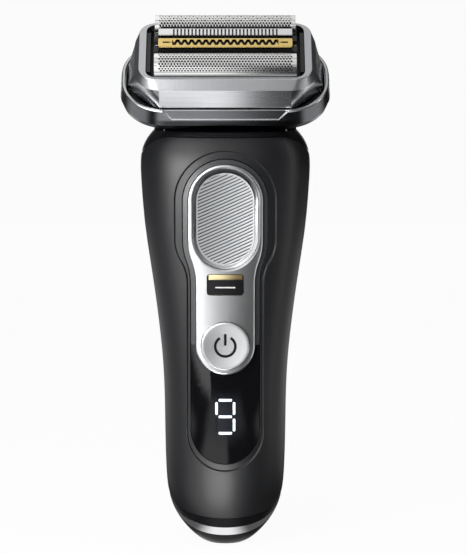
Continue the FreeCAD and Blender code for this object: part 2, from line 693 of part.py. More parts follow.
def inner_pieces():
    """Board, chassis, cell and fasteners, stacked behind the controls."""
    board_back = BOARD_FRONT_Y + BOARD_T
    board = fuse([
        box(-BOARD_HALF_LOW, BOARD_HALF_LOW, BOARD_FRONT_Y, board_back, BOARD_BOTTOM, BOARD_STEP_Z),
        box(-BOARD_HALF_HIGH, BOARD_HALF_HIGH, BOARD_FRONT_Y, board_back, BOARD_STEP_Z, BOARD_TOP),
    ])
    plate_back = board_back + 1.5
    chassis = fuse([
        box(-BOARD_HALF_LOW - 0.4, BOARD_HALF_LOW + 0.4, board_back, plate_back,
            BOARD_BOTTOM - 1.5, BOARD_STEP_Z + 2),
        box(-BOARD_HALF_HIGH - 0.4, BOARD_HALF_HIGH + 0.4, board_back, plate_back,
            BOARD_STEP_Z + 2, BOARD_TOP + 2),
        box(-8.0, 8.0, board_back, CELL_Y + 4.5, CELL_BOTTOM - 2.6, CELL_BOTTOM + CELL_LENGTH + 2.6),
    ])
    cell = rod(CELL_R, V(0, CELL_Y, CELL_BOTTOM), V(0, CELL_Y, CELL_BOTTOM + CELL_LENGTH))
    bay = rod(CELL_R + 0.1, V(0, CELL_Y, CELL_BOTTOM - 0.8),
              V(0, CELL_Y, CELL_BOTTOM + CELL_LENGTH + 0.8))
    chassis = chassis.cut(bay)
    chassis = chassis.cut(box(-6.2, 6.2, CELL_Y, CELL_Y + 12, CELL_BOTTOM - 0.8,
                              CELL_BOTTOM + CELL_LENGTH + 0.8))
    tabs = Part.makeCompound([
        rod(4.5, V(0, CELL_Y, CELL_BOTTOM - 0.6), V(0, CELL_Y, CELL_BOTTOM - 0.2)),
        rod(4.5, V(0, CELL_Y, CELL_BOTTOM + CELL_LENGTH + 0.2),
            V(0, CELL_Y, CELL_BOTTOM + CELL_LENGTH + 0.6)),
    ])
    screws = []
    for x, z in SCREW_SPOTS:
        hole = rod(SCREW_R + 0.15, V(x, -20, z), V(x, 20, z))
        board = board.cut(hole)
        chassis = chassis.cut(hole)
        head = BOARD_FRONT_Y - 1.4
        screw = fuse([
            rod(2.1, V(x, head, z), V(x, BOARD_FRONT_Y - 0.02, z)),
            rod(SCREW_R, V(x, BOARD_FRONT_Y - 0.5, z), V(x, BOARD_FRONT_Y + 10, z)),
        ])
        screws.append(screw.cut(fuse([
            box(x - 1.2, x + 1.2, head - 1, head + 0.7, z - 0.25, z + 0.25),
            box(x - 0.25, x + 0.25, head - 1, head + 0.7, z - 1.2, z + 1.2),
        ])))
    switch = fuse([
        box(-3, 3, BOARD_FRONT_Y - 3.4, BOARD_FRONT_Y, BUTTON_Z - 3, BUTTON_Z + 3),
        rod(1.7, V(0, BOARD_FRONT_Y - 4.1, BUTTON_Z), V(0, BOARD_FRONT_Y - 3.4, BUTTON_Z)),
    ])
    lamp = box(-LAMP_HALF, LAMP_HALF, HANDLE_Y - 12.7, BOARD_FRONT_Y, DIGIT_Z - 8.5, DIGIT_Z + 8.5)
    chips = Part.makeCompound([
        box(-10, -4, BOARD_FRONT_Y - 1.1, BOARD_FRONT_Y, THUMB_Z - 8.7, THUMB_Z - 0.7),
        box(4, 11, BOARD_FRONT_Y - 1.3, BOARD_FRONT_Y, THUMB_Z - 9.7, THUMB_Z - 2.7),
        box(-10.5, -6.5, BOARD_FRONT_Y - 1.6, BOARD_FRONT_Y, BUTTON_Z - 12.2, BUTTON_Z - 6.2),
        box(6.5, 10.5, BOARD_FRONT_Y - 1.6, BOARD_FRONT_Y, BUTTON_Z - 11.2, BUTTON_Z - 8.2),
    ])
    return board, chassis, cell, tabs, Part.makeCompound(screws), switch, lamp, chips


def housing_seal():
    seal = handle_body(0.5).cut(handle_body(1.4))
    seal = seal.common(box(-REACH, REACH, SPLIT_Y, SPLIT_Y + SEAM, 0, SHOULDER))
    return seal.cut(below(SHELL_RIM))


def comb_teeth(half, z0, z1, y0, y1, pitch, width):
    teeth = []
    count = int(half / pitch)
    for k in range(-count, count + 1):
        teeth.append(box(k * pitch - width / 2, k * pitch + width / 2, y0, y1, z0, z1))
    return teeth


def trimmer_pieces():
    floor = TRIM_FLOOR_Y + TRIM_GAP
    blade_y, comb_y, cover_y = floor, floor + 0.6, floor + 1.4
    half = TRIM_HALF_WIDTH
    grip = front_plate(TRIM_GRIP_HALF, TRIM_BOTTOM, TRIM_COVER_BOTTOM + 3, 3.0, floor, TRIM_PROUD_Y)
    grip = grip.cut(box(-half, half, 0, cover_y - 0.1, TRIM_COVER_BOTTOM, PIVOT.z))
    cover = front_plate(half, TRIM_COVER_BOTTOM, TRIM_COVER_TOP, 1.5, cover_y, TRIM_PROUD_Y)
    carriage = fuse([grip, cover])
    rims = [e for e in carriage.Edges if e.BoundBox.YMin > TRIM_PROUD_Y - 0.01]
    carriage = carriage.makeFillet(0.8, rims)
    first = TRIM_BOTTOM + 6
    ridges = [box(-7, 7, TRIM_PROUD_Y - 0.5, REACH, first + 2.2 * k, first + 1 + 2.2 * k)
              for k in range(6)]
    carriage = carriage.cut(Part.makeCompound(ridges))
    comb = fuse([box(-half + 0.4, half - 0.4, comb_y, comb_y + 0.7,
                     TRIM_COVER_BOTTOM + 1, TRIM_COVER_TOP)]
                + comb_teeth(half - 0.9, TRIM_COVER_TOP, TRIM_TIP, comb_y, comb_y + 0.7, 1.2, 0.6))
    blade = fuse([box(-half + 2.2, half - 2.2, blade_y, blade_y + 0.5,
                      TRIM_COVER_BOTTOM + 3, TRIM_COVER_TOP - 0.5)]
                 + comb_teeth(half - 3.0, TRIM_COVER_TOP - 0.5, TRIM_TIP - 0.4,
                              blade_y, blade_y + 0.5, 1.2, 0.6))
    return carriage, comb, blade


# ---------------------------------------------------------------- head pieces, upright about the pivot
def loft(wires):
    return Part.makeLoft(wires, True, True)


def ring_form(grow):
    """The head ring's bellied outside."""
    half, depth = RING_HALF
    profile = [(2.0, FLOOR_W + 0.1), (0.4, FLOOR_W + 1.2), (0.0, FLOOR_W + 2.8),
               (0.4, RIM_W - 0.3), (0.7, RIM_W)]
    return loft([rounded_rect(half - tuck + grow, depth - tuck + grow, RING_CORNER - tuck + grow, w)
                 for tuck, w in profile])


def head_ring():
    """Dark rim round the head, with a sloping tray in front and a window each side."""
    half, depth = RING_HALF
    bore = fuse([
        block(half - 2.55, depth - 2.35, RING_CORNER - 2.45, FLOOR_W - 1, RIM_W + 1),
        block(half - 1.3, depth - 1.3, RING_CORNER - 1.3, RIM_W - 1.6, RIM_W + 1),
    ])
    whole = ring_form(0)
    tops = [e for e in whole.Edges if e.BoundBox.ZMin > RIM_W - 0.01]
    whole = whole.makeFillet(RING_EDGE, tops)
    reach = TRAY_HALF + 5
    slope = Part.Face(Part.makePolygon([
        V(-reach, -depth + 1.2, RIM_W - 0.4), V(-reach, -depth - 0.1, RIM_W - TRAY_DROP),
        V(-reach, -depth - 3, RIM_W - TRAY_DROP), V(-reach, -depth - 3, RIM_W + 0.1),
        V(-reach, -depth + 1.2, RIM_W + 0.1), V(-reach, -depth + 1.2, RIM_W - 0.4),
    ])).extrude(V(2 * reach, 0, 0))
    ends = Part.Face(Part.makePolygon([
        V(-TRAY_HALF, -depth - 4, RIM_W + 0.2), V(TRAY_HALF, -depth - 4, RIM_W + 0.2),
        V(TRAY_HALF - 4, -depth - 4, RIM_W - TRAY_DROP), V(4 - TRAY_HALF, -depth - 4, RIM_W - TRAY_DROP),
        V(-TRAY_HALF, -depth - 4, RIM_W + 0.2),
    ])).extrude(V(0, 6, 0))
    window = box(half - 5.2, half + 7, -RELEASE_HALF - 0.2, RELEASE_HALF + 0.2,
                 RELEASE_LOW - 0.2, RELEASE_HIGH + 0.2)
    return whole.cut(bore).cut(slope.common(ends)).cut(fuse(both_sides(window)))


def head_housing():
    """Bowl, motor bay and the hub that turns on the pivot pins."""
    half, depth = RING_HALF[0] - 2.7, RING_HALF[1] - 2.5
    corner = RING_CORNER - 2.6
    bowl = loft([rounded_rect(half - 1, depth - 1, corner - 1, FLOOR_W),
                 rounded_rect(half, depth, corner, FLOOR_W + 1.2)])
    bowl = fuse([bowl, block(half, depth, corner, FLOOR_W + 1.2, RIM_W - 1.8)])
    bowl = bowl.cut(block(half - 1.2, depth - 1.2, corner - 1.2, FLOOR_W + 1.5, RIM_W + 5))
    bay = block(BAY_HALF[0], BAY_HALF[1], BAY_CORNER, FLOOR_W, BAY_TOP_W)
    hub = rod(HUB_R, V(-HUB_HALF, 0, 0), V(HUB_HALF, 0, 0))
    neck = box(-HUB_HALF, HUB_HALF, -6.8, 6.8, 0, FLOOR_W + 1)
    whole = fuse([bowl, bay, hub, neck])
    whole = whole.cut(block(BAY_HALF[0] - 1.2, BAY_HALF[1] - 1.2, BAY_CORNER - 1.2,
                            FLOOR_W + 1.5, BAY_TOP_W + 1))
    bores = [rod(PIN_R + 0.05, V(sign * (HUB_HALF - 3), 0, 0), V(sign * (HUB_HALF + 6), 0, 0))
             for sign in (1, -1)]
    lead = rod(LEAD_R, V(LEAD_X, 0, -10), V(LEAD_X, 0, 8))
    detents = []
    for k in range(4):
        notch = rod(0.6, V(-1.9, 0, -HUB_R), V(1.9, 0, -HUB_R))
        notch.rotate(V(0, 0, 0), V(1, 0, 0), 10 * k - HEAD_LEAN)
        detents.append(notch)
    return whole.cut(fuse(bores + [lead])).cut(Part.makeCompound(detents))


def drive_pieces():
    floor = FLOOR_W + 1.5
    core = fuse([
        box(-13, 13, -6.5, 6.5, floor + 0.1, floor + 1.7),
        box(-13, -9.5, -6.5, 6.5, floor + 1.7, floor + 4.3),
        box(-2, 2, -6.5, 6.5, floor + 1.7, floor + 4.3),
        box(9.5, 13, -6.5, 6.5, floor + 1.7, floor + 4.3),
    ])
    coil = block(8.8, 8.6, 2.0, floor + 1.8, floor + 4.2).cut(block(2.15, 6.65, 0.1, floor, floor + 6))
    magnet_w = floor + 4.6
    armature = fuse([box(-12, 12, -6.2, 6.2, magnet_w, magnet_w + 1.4),
                     box(-14, 14, -5, 5, magnet_w + 1.4, magnet_w + 2.3)])
    bridge_w = magnet_w + 2.4
    cover_w = BAY_TOP_W
    bridge = [box(-16, 16, -9.7, 9.7, bridge_w, bridge_w + 1.3)]
    slots = []
    for v in (-FOIL_V, LIFT_V, DIRECT_V, FOIL_V):
        bridge.append(rod(DRIVE_PIN_R, V(0, v, bridge_w + 1), V(0, v, PIN_TOP_W)))
        slots.append(box(-DRIVE_PIN_R - BRIDGE_TRAVEL - 0.3, DRIVE_PIN_R + BRIDGE_TRAVEL + 0.3,
                         v - DRIVE_PIN_R - 0.25, v + DRIVE_PIN_R + 0.25, cover_w - 1, cover_w + 2))
    bridge = fuse(bridge)
    half_x, half_v = BAY_HALF
    cover = block(half_x, half_v, BAY_CORNER, cover_w + 0.05, cover_w + COVER_T)
    for slot in slots:
        cover = cover.cut(slot)
    screws = []
    for x, v in ((3.5 - half_x, 0), (half_x - 3.5, 0)):
        post = V(x, v, cover_w + COVER_T + 0.03)
        top = post.z + 0.9
        screws.append(rod(1.5, post, V(x, v, top)).cut(fuse([
            box(x - 1, x + 1, v - 0.2, v + 0.2, top - 0.5, top + 1),
            box(x - 0.2, x + 0.2, v - 1, v + 1, top - 0.5, top + 1),
        ])))
    leaf = fuse([box(19.35, 19.65, -4, 4, floor + 0.1, bridge_w + 0.6),
                 box(16.1, 19.5, -4, 4, bridge_w + 0.1, bridge_w + 0.6)])
    return {
        "motor_core": core,
        "motor_coil": coil,
        "motor_armature": armature,
        "drive_bridge": bridge,
        "bay_cover": cover,
        "cover_screws": Part.makeCompound(screws),
        "bridge_springs": Part.makeCompound(both_sides(leaf)),
    }


def release_button(sign):
    """Ribbed push plate that follows the ring's belly."""
    plate = ring_form(0.12).cut(ring_form(-1.4))
    plate = plate.common(box(RING_HALF[0] - 8, RING_HALF[0] + 7, -RELEASE_HALF, RELEASE_HALF,
                             RELEASE_LOW, RELEASE_HIGH))
    face = RING_HALF[0] + 0.12
    for k in range(-3, 4):
        v = k * 1.3
        plate = plate.cut(box(face - 0.35, face + 1, v - 0.25, v + 0.25,
                              RELEASE_LOW + 0.7, RELEASE_HIGH - 0.7))
    return plate if sign > 0 else plate.mirror(V(0, 0, 0), V(1, 0, 0))


def cassette_frame():
    """Metal-look cassette casing with a sloping brow in front and raised cheeks."""
    half, depth = RING_HALF
    outer = loft([
        rounded_rect(half - 2.1, depth - 1.8, RING_CORNER - 4.1, FRAME_BOTTOM_W, cut=FRAME_CORNER_CUT),
        rounded_rect(half - 4.6, depth - 1.8, RING_CORNER - 6.5, FRAME_CREASE_W),
        rounded_rect(half - 6.1, depth - 3.5, RING_CORNER - 9.5, FRAME_TOP_W),
    ])
    opening = block(OPENING_HALF[0], OPENING_HALF[1], OPENING_CORNER, FRAME_BOTTOM_W - 1, FRAME_TOP_W + 1)
    inside = loft([
        rounded_rect(half - 3.5, depth - 3.2, RING_CORNER - 2.9, FRAME_BOTTOM_W - 0.1,
                     cut=BASE_CORNER_CUT - 0.05),
        rounded_rect(half - 5.8, depth - 3.1, RING_CORNER - 7.7, FRAME_CREASE_W - 0.4),
    ])
    outer = outer.makeFillet(0.7, level_edges(outer, FRAME_CREASE_W))
    outer = outer.makeFillet(FRAME_EDGE, level_edges(outer, FRAME_TOP_W))
    return outer.cut(opening).cut(inside)


def level_edges(shape, w):
    """Edges that lie flat at this height."""
    return [e for e in shape.Edges if abs(e.BoundBox.ZMin - w) < 0.01 and abs(e.BoundBox.ZMax - w) < 0.01]


def cassette_base():
    """Black carrier inside the frame: skirt round the motor bay, ledges and end walls for the foils."""
    top = FRAME_CREASE_W - 0.6
    half, depth = RING_HALF[0] - 4.3, RING_HALF[1] - 3.9
    outer = loft([
        rounded_rect(half, depth, RING_CORNER - 4.2, FRAME_BOTTOM_W - 2.4, cut=BASE_CORNER_CUT),
        rounded_rect(half, depth, RING_CORNER - 4.2, FRAME_BOTTOM_W + 1.0, cut=BASE_CORNER_CUT),
        rounded_rect(half - 2, depth, RING_CORNER - 8.5, top),
    ])
    skirt = block(BAY_HALF[0] + 0.3, BAY_HALF[1] + 0.3, BAY_CORNER + 0.2, 0, BAY_TOP_W + 2.7)
    well = block(CUTTER_HALF + BRIDGE_TRAVEL + 0.9, depth - 0.4, 0.8, BAY_TOP_W + 1, top + 1)
    carrier = outer.cut(skirt).cut(well)
    shelves = block(OPENING_HALF[0] - 0.7, depth - 0.4, 0.8, SHELF_W, top + 1)
    carrier = carrier.cut(shelves)
    wall_out = OPENING_HALF[0] - 0.2
    wall_in = wall_out - 1.2
    wall_half = OPENING_HALF[1] - OPENING_CORNER
    wall = box(wall_in, wall_out, -wall_half, wall_half, top - 1, FRAME_TOP_W - 0.6)
    return fuse([carrier] + both_sides(wall))


def foil(v):
    """Arched steel skin on two straight legs."""
    centre_w = FOIL_TOP_W - FOIL_R
    outer = fuse([
        rod(FOIL_R, V(-FOIL_HALF, v, centre_w), V(FOIL_HALF, v, centre_w)),
        box(-FOIL_HALF, FOIL_HALF, v - FOIL_R, v + FOIL_R, centre_w - FOIL_LEG, centre_w),
    ])
    bore_r = FOIL_R - FOIL_T
    bore = fuse([
        rod(bore_r, V(-FOIL_HALF - 1, v, centre_w), V(FOIL_HALF + 1, v, centre_w)),
        box(-FOIL_HALF - 1, FOIL_HALF + 1, v - bore_r, v + bore_r, centre_w - FOIL_LEG - 1, centre_w),
    ])
    lower = box(-40, 40, v - FOIL_R, v + FOIL_R, 0, centre_w)
    return outer.cut(bore).cut(lower.cut(box(-40, 40, -40, 40, centre_w - FOIL_LEG, centre_w)))


def foil_carrier(v):
    """Black frame under the foil's legs that also closes both ends of the arch."""
    centre_w = FOIL_TOP_W - FOIL_R
    top = centre_w - FOIL_LEG - 0.05
    low = top - FOIL_CARRIER_T
    inner = FOIL_R - FOIL_T - 0.03
    side = FOIL_HALF + CARRIER_OVERHANG
    hole = CUTTER_HALF + BRIDGE_TRAVEL + 0.4
    frame = box(-side, side, v - FOIL_R, v + FOIL_R, low, top)
    frame = frame.cut(box(-hole, hole, v - FOIL_R + 0.5, v + FOIL_R - 0.5, low - 1, low + 4))
    cheek_in = hole + 0.9
    cheek = fuse([box(cheek_in, FOIL_HALF - 0.1, v - inner, v + inner, low, centre_w),
                  rod(inner, V(cheek_in, v, centre_w), V(FOIL_HALF - 0.1, v, centre_w))])
    return fuse([frame] + both_sides(cheek))


def cutter(v):
    """Row of arched lamellae on a bar with a socket for the drive pin."""
    centre_w = FOIL_TOP_W - FOIL_R
    r = FOIL_R - FOIL_T - RUN
    side = FOIL_R - 1.1
    bar = box(-CUTTER_HALF, CUTTER_HALF, v - side, v + side, centre_w - 4.2, centre_w - 0.6)
    count = int(CUTTER_HALF / BLADE_PITCH)
    lamellae = []
    for k in range(-count, count + 1):
        x = k * BLADE_PITCH
        lamellae.append(rod(r, V(x - BLADE_T / 2, v, centre_w), V(x + BLADE_T / 2, v, centre_w)))
    crest = Part.makeCompound(lamellae).cut(box(-30, 30, v - 5, v + 5, 0, centre_w - 1.0))
    hollow = rod(r - 1.0, V(-30, v, centre_w), V(30, v, centre_w))
    hollow = hollow.cut(box(-40, 40, v - 5, v + 5, 0, centre_w - 0.6))
    socket = rod(DRIVE_PIN_R + RUN, V(0, v, centre_w - 5), V(0, v, PIN_TOP_W + FLOAT + 0.25))
    return bar.fuse(crest.Solids).cut(hollow).cut(socket)


def comb_channel(v, width, top):
    """Channel open below that holds one comb: its cap and its carrier are cut from it."""
    low = top - COMB_DEPTH
    channel = box(-COMB_HALF, COMB_HALF, v - width / 2, v + width / 2, low, top)
    lengthwise = [e for e in channel.Edges
                  if e.BoundBox.ZMin > top - 0.01 and e.BoundBox.XLength > 1]
    channel = channel.makeFillet(0.4, lengthwise)
    return channel.cut(box(-COMB_HALF + 1.2, COMB_HALF - 1.2, v - width / 2 + 0.35, v + width / 2 - 0.35,
                           low - 1, top - 0.45))


def comb_carrier(v, width, top):
    """Black body under a comb's metal cap, with a guide tab at each end."""
    cut_w = top - COMB_CAP_T - 0.04
    low = top - COMB_DEPTH
    tab = box(COMB_HALF - 0.5, COMB_HALF + COMB_TAB, v - 1.1, v + 1.1, low, low + 1.6)
    body = comb_channel(v, width, top).common(box(-30, 30, -10, 10, 0, cut_w))
    return fuse([body] + both_sides(tab))


def comb_cap(v, width, top):
    return comb_channel(v, width, top).common(box(-30, 30, -10, 10, top - COMB_CAP_T, 40))


def lift_comb():
    """Gilded guard with a zigzag of slanting slots and a short slot at each end."""
    count = int(SLOT_SPAN / LIFT_PITCH)
    slots = []
    for k in range(-count, count + 1):
        slot = box(-LIFT_SLOT / 2, LIFT_SLOT / 2, -LIFT_SLOT_HALF, LIFT_SLOT_HALF,
                   COMB_TOP_W - 1.5, COMB_TOP_W + 1)
        slot.rotate(V(0, 0, 0), V(0, 0, 1), LIFT_SLANT if k % 2 else -LIFT_SLANT)
        slot.translate(V(k * LIFT_PITCH, LIFT_V, 0))
        slots.append(slot)
    ends = both_sides(box(COMB_HALF - 4.0, COMB_HALF - 2.0, LIFT_V - 0.3, LIFT_V + 0.3,
                          COMB_TOP_W - 0.3, COMB_TOP_W + 1))
    cap = comb_cap(LIFT_V, LIFT_WIDTH, COMB_TOP_W)
    outline = block(COMB_HALF, LIFT_WIDTH / 2, COMB_CORNER, 0, COMB_TOP_W + 1, LIFT_V)
    return cap.common(outline).cut(fuse(slots + ends))


def direct_comb():
    """Steel guard with straight crosswise slots."""
    count = int(SLOT_SPAN / DIRECT_PITCH)
    front = DIRECT_V - DIRECT_WIDTH / 2 - 0.2
    slots = []
    for k in range(-count, count + 1):
        x = k * DIRECT_PITCH
        slots.append(box(x - 0.26, x + 0.26, front, DIRECT_V + 1.1, DIRECT_TOP_W - 0.8, DIRECT_TOP_W + 1))
    return comb_cap(DIRECT_V, DIRECT_WIDTH, DIRECT_TOP_W).cut(Part.makeCompound(slots))


def comb_blade(v, width, top, pitch):
    """Toothed strip that slides under a comb's cap, with a socket for the drive pin."""
    half = SLOT_SPAN + 0.6
    inner = width / 2 - 0.35 - RUN
    strip = box(-half, half, v - inner, v + inner, top - 1.25, top - 0.45 - RUN)
    count = int(half / pitch)
    notches = [box((k + 0.5) * pitch - 0.2, (k + 0.5) * pitch + 0.2, v - 5, v + 5, top - 0.9, top)
               for k in range(-count, count)]
    strip = strip.cut(Part.makeCompound(notches))
    foot = box(-3.2, 3.2, v - 1.05, v + 1.05, top - 7.9, top - 1.2)
    socket = rod(DRIVE_PIN_R + RUN, V(0, v, 10), V(0, v, PIN_TOP_W + COMB_FLOAT + 0.3))
    return fuse([strip, foot]).cut(socket)


def springs(x, v, high):
    """Two coil springs that carry one floating element above the shelves."""
    low = SHELF_W + 0.05
    rise = high - low - 2 * SPRING_WIRE_R - 0.05
    turns = 4
    path = Part.makeHelix(rise / turns, rise, SPRING_R)
    profile = Part.Wire([Part.makeCircle(SPRING_WIRE_R, V(SPRING_R, 0, 0), V(0, 1, 0))])
    coils = []
    for side in (-1, 1):
        coil = Part.Wire(path).makePipeShell([profile], True, True)
        coil.translate(V(side * x, v, low + SPRING_WIRE_R))
        coils.append(coil)
    return Part.makeCompound(coils)


def lean(shape):
    """Carries a piece from the upright head to its place on the handle."""
    placed = shape.copy()
    placed.rotate(V(0, 0, 0), V(1, 0, 0), HEAD_LEAN)
    placed.translate(PIVOT)
    return placed


# ---------------------------------------------------------------- assembly
def handle_nodes():
    well, slider, strip = lock_pieces()
    button, icon = power_pieces()
    band, ring, cap, pins, contacts = bottom_pieces()
    board, chassis, cell, tabs, screws, switch, lamp, chips = inner_pieces()
    carriage, comb, blade = trimmer_pieces()
    pin_end = HUB_HALF + ARM_T + 0.5
    pivots = both_sides(rod(PIN_R, V(HUB_HALF - 2.8, PIVOT.y, PIVOT.z), V(pin_end, PIVOT.y, PIVOT.z)))
    return {
        "front_housing": front_housing(),
        "rear_housing": rear_housing(),
        "top_cap": top_cap(),
        "control_panel": control_panel(),
        "thumb_rest": thumb_rest(),
        "panel_surround": panel_surround(),
        "display_window": display_window(),
        "display_digit": display_digit(),
        "lock_well": well,
        "lock_slider": slider,
        "lock_rod": strip,
        "power_button": button,
        "power_icon": icon,
        "bottom_band": band,
        "bottom_ring": ring,
        "bottom_cap": cap,
        "socket_pins": pins,
        "charging_contacts": contacts,
        "main_board": board,
        "chassis": chassis,
        "battery_cell": cell,
        "battery_tabs": tabs,
        "housing_screws": screws,
        "power_switch": switch,
        "display_lamp": lamp,
        "board_chips": chips,
        "housing_seal": housing_seal(),
        "trimmer_carriage": carriage,
        "trimmer_comb": comb,
        "trimmer_blade": blade,
        "pivot_pins": Part.makeCompound(pivots),
    }


def head_nodes():
    foil_low = FOIL_TOP_W - FOIL_R - FOIL_LEG - 0.05 - FOIL_CARRIER_T
    comb_low = COMB_TOP_W - COMB_DEPTH
    nodes = {
        "head_ring": head_ring(),
        "head_housing": head_housing(),
        "release_button_left": release_button(-1),
        "release_button_right": release_button(1),
        "cassette_frame": cassette_frame(),
        "cassette_base": cassette_base(),
        "lift_comb": lift_comb(),
        "lift_carrier": comb_carrier(LIFT_V, LIFT_WIDTH, COMB_TOP_W),
        "lift_blade": comb_blade(LIFT_V, LIFT_WIDTH, COMB_TOP_W, LIFT_PITCH),
        "lift_springs": springs(COMB_HALF + 0.4, LIFT_V, comb_low),
        "direct_comb": direct_comb(),
        "direct_carrier": comb_carrier(DIRECT_V, DIRECT_WIDTH, DIRECT_TOP_W),
        "direct_blade": comb_blade(DIRECT_V, DIRECT_WIDTH, DIRECT_TOP_W, DIRECT_PITCH),
        "direct_springs": springs(COMB_HALF + 0.4, DIRECT_V, DIRECT_TOP_W - COMB_DEPTH),
    }
    for side, v in (("front", -FOIL_V), ("rear", FOIL_V)):
        nodes[side + "_foil"] = foil(v)
        nodes[side + "_foil_carrier"] = foil_carrier(v)
        nodes[side + "_cutter"] = cutter(v)
        nodes[side + "_foil_springs"] = springs(FOIL_HALF - 0.6, v, foil_low)
    nodes.update(drive_pieces())
    return {name: lean(shape) for name, shape in nodes.items()}


def main():
    os.makedirs(OUT, exist_ok=True)
    nodes = {**handle_nodes(), **head_nodes()}
    for name, shape in nodes.items():
        shape.exportStep(os.path.join(OUT, name + ".step"))


main()
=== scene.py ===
"""Looks of a foil shaver: finishes for every construction part, etched foils, the lock's printed mark
and a plain studio.

Metres, +Z up, -Y is the front.  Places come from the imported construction, which is never moved.
"""
import bpy
import json
import math
from mathutils import Matrix, Vector
from mathutils.kdtree import KDTree

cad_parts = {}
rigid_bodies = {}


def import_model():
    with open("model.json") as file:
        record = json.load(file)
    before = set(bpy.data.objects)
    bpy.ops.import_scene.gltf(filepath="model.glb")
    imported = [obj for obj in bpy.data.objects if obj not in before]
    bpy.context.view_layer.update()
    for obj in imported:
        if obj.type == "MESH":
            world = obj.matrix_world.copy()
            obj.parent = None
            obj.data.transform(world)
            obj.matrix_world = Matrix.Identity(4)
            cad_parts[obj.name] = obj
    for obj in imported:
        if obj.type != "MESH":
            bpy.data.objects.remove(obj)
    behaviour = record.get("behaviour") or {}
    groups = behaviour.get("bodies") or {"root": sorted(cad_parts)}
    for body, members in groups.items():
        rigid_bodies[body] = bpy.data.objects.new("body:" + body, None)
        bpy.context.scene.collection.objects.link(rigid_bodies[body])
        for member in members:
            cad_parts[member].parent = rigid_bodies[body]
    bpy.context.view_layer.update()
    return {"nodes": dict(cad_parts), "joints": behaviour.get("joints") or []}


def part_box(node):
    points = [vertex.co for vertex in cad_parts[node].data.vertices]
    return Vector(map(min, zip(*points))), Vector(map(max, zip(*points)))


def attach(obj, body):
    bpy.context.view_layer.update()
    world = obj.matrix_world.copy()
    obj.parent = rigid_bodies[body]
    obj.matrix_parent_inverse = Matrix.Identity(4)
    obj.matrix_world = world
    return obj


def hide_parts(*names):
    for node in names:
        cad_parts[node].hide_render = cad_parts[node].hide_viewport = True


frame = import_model()

MM = 0.001
FINE_GRAIN = 5200       # noise scale whose specks are about a fifth of a millimetre
SPREAD = 0.05           # how far roughness wanders over plain plastic and metal
RIB_PITCH = 0.98        # of the thumb rest's ribs, in millimetres
RIB_SLOPE = 24.0        # in degrees
WAVE_PITCH = 2.2        # of the gilded comb's zigzag, in millimetres
WAVE_SLOPE = 24.0       # how far its legs lean, in degrees
TURNING_PITCH = 0.16 * MM
WINDING_PITCH = 0.24 * MM
FOIL_HEM = 1.8 * MM     # plain strip along a foil's lower edges
HOLE_PITCH = 0.95 * MM
HOLE_SIZE = 0.36 * MM
JOINTS = {joint["name"]: joint for joint in frame["joints"]}
PIVOT = Vector(JOINTS["head_tilt"]["pos_m"])
HEAD_UP = Vector(JOINTS["cassette_release"]["axis"])
HEAD_LEAN = math.atan2(-HEAD_UP.y, HEAD_UP.z)
TO_WORLD = Matrix.Translation(PIVOT) @ Matrix.Rotation(HEAD_LEAN, 4, "X")
TO_HEAD = TO_WORLD.inverted()


def head_box(node):
    """Lowest and highest corners of a part in the head's own upright axes."""
    points = [TO_HEAD @ v.co for v in frame["nodes"][node].data.vertices]
    return (Vector([min(p[k] for p in points) for k in range(3)]),
            Vector([max(p[k] for p in points) for k in range(3)]))


def middle(node):
    """Middle of a part's box."""
    low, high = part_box(node)
    return (low + high) / 2


# ---------------------------------------------------------------- shader arithmetic
class Value:
    """One shader value.  Arithmetic on it adds Math nodes."""

    def __init__(self, finish, socket):
        self.finish = finish
        self.socket = socket

    def math(self, operation, *others):
        """A Math node with this value first."""
        return self.finish.node("ShaderNodeMath", {"operation": operation},
                                dict(enumerate((self, *others))))

    def after(self, operation, first):
        """The same with the other number first."""
        return self.finish.node("ShaderNodeMath", {"operation": operation}, {0: first, 1: self})

    def __add__(self, other):
        return self.math("ADD", other)

    def __sub__(self, other):
        return self.math("SUBTRACT", other)

    def __mul__(self, other):
        return self.math("MULTIPLY", other)

    def __truediv__(self, other):
        return self.math("DIVIDE", other)

    def __pow__(self, other):
        return self.math("POWER", other)

    def __lt__(self, other):
        return self.math("LESS_THAN", other)

    def __gt__(self, other):
        return self.math("GREATER_THAN", other)

    def __rsub__(self, other):
        return self.after("SUBTRACT", other)

    def __rtruediv__(self, other):
        return self.after("DIVIDE", other)

    def __abs__(self):
        return self.math("ABSOLUTE")

    __radd__ = __add__
    __rmul__ = __mul__

    def smallest(self, other):
        return self.math("MINIMUM", other)

    def largest(self, other):
        return self.math("MAXIMUM", other)

    def share(self, reach):
        """Nought to one, in a straight line, as the value goes from nought to reach."""
        return (self / reach).largest(0.0).smallest(1.0)

    def ripple(self, pitch):
        """Nought to one and back over each pitch."""
        return (self * (2 * math.pi / pitch)).math("SINE") * 0.5 + 0.5

    def ramp(self, start, end):
        """Nought before start, one after end, and smooth between them."""
        return self.finish.node("ShaderNodeMapRange", {"interpolation_type": "SMOOTHSTEP"},
                                {"Value": self, "From Min": start, "From Max": end})


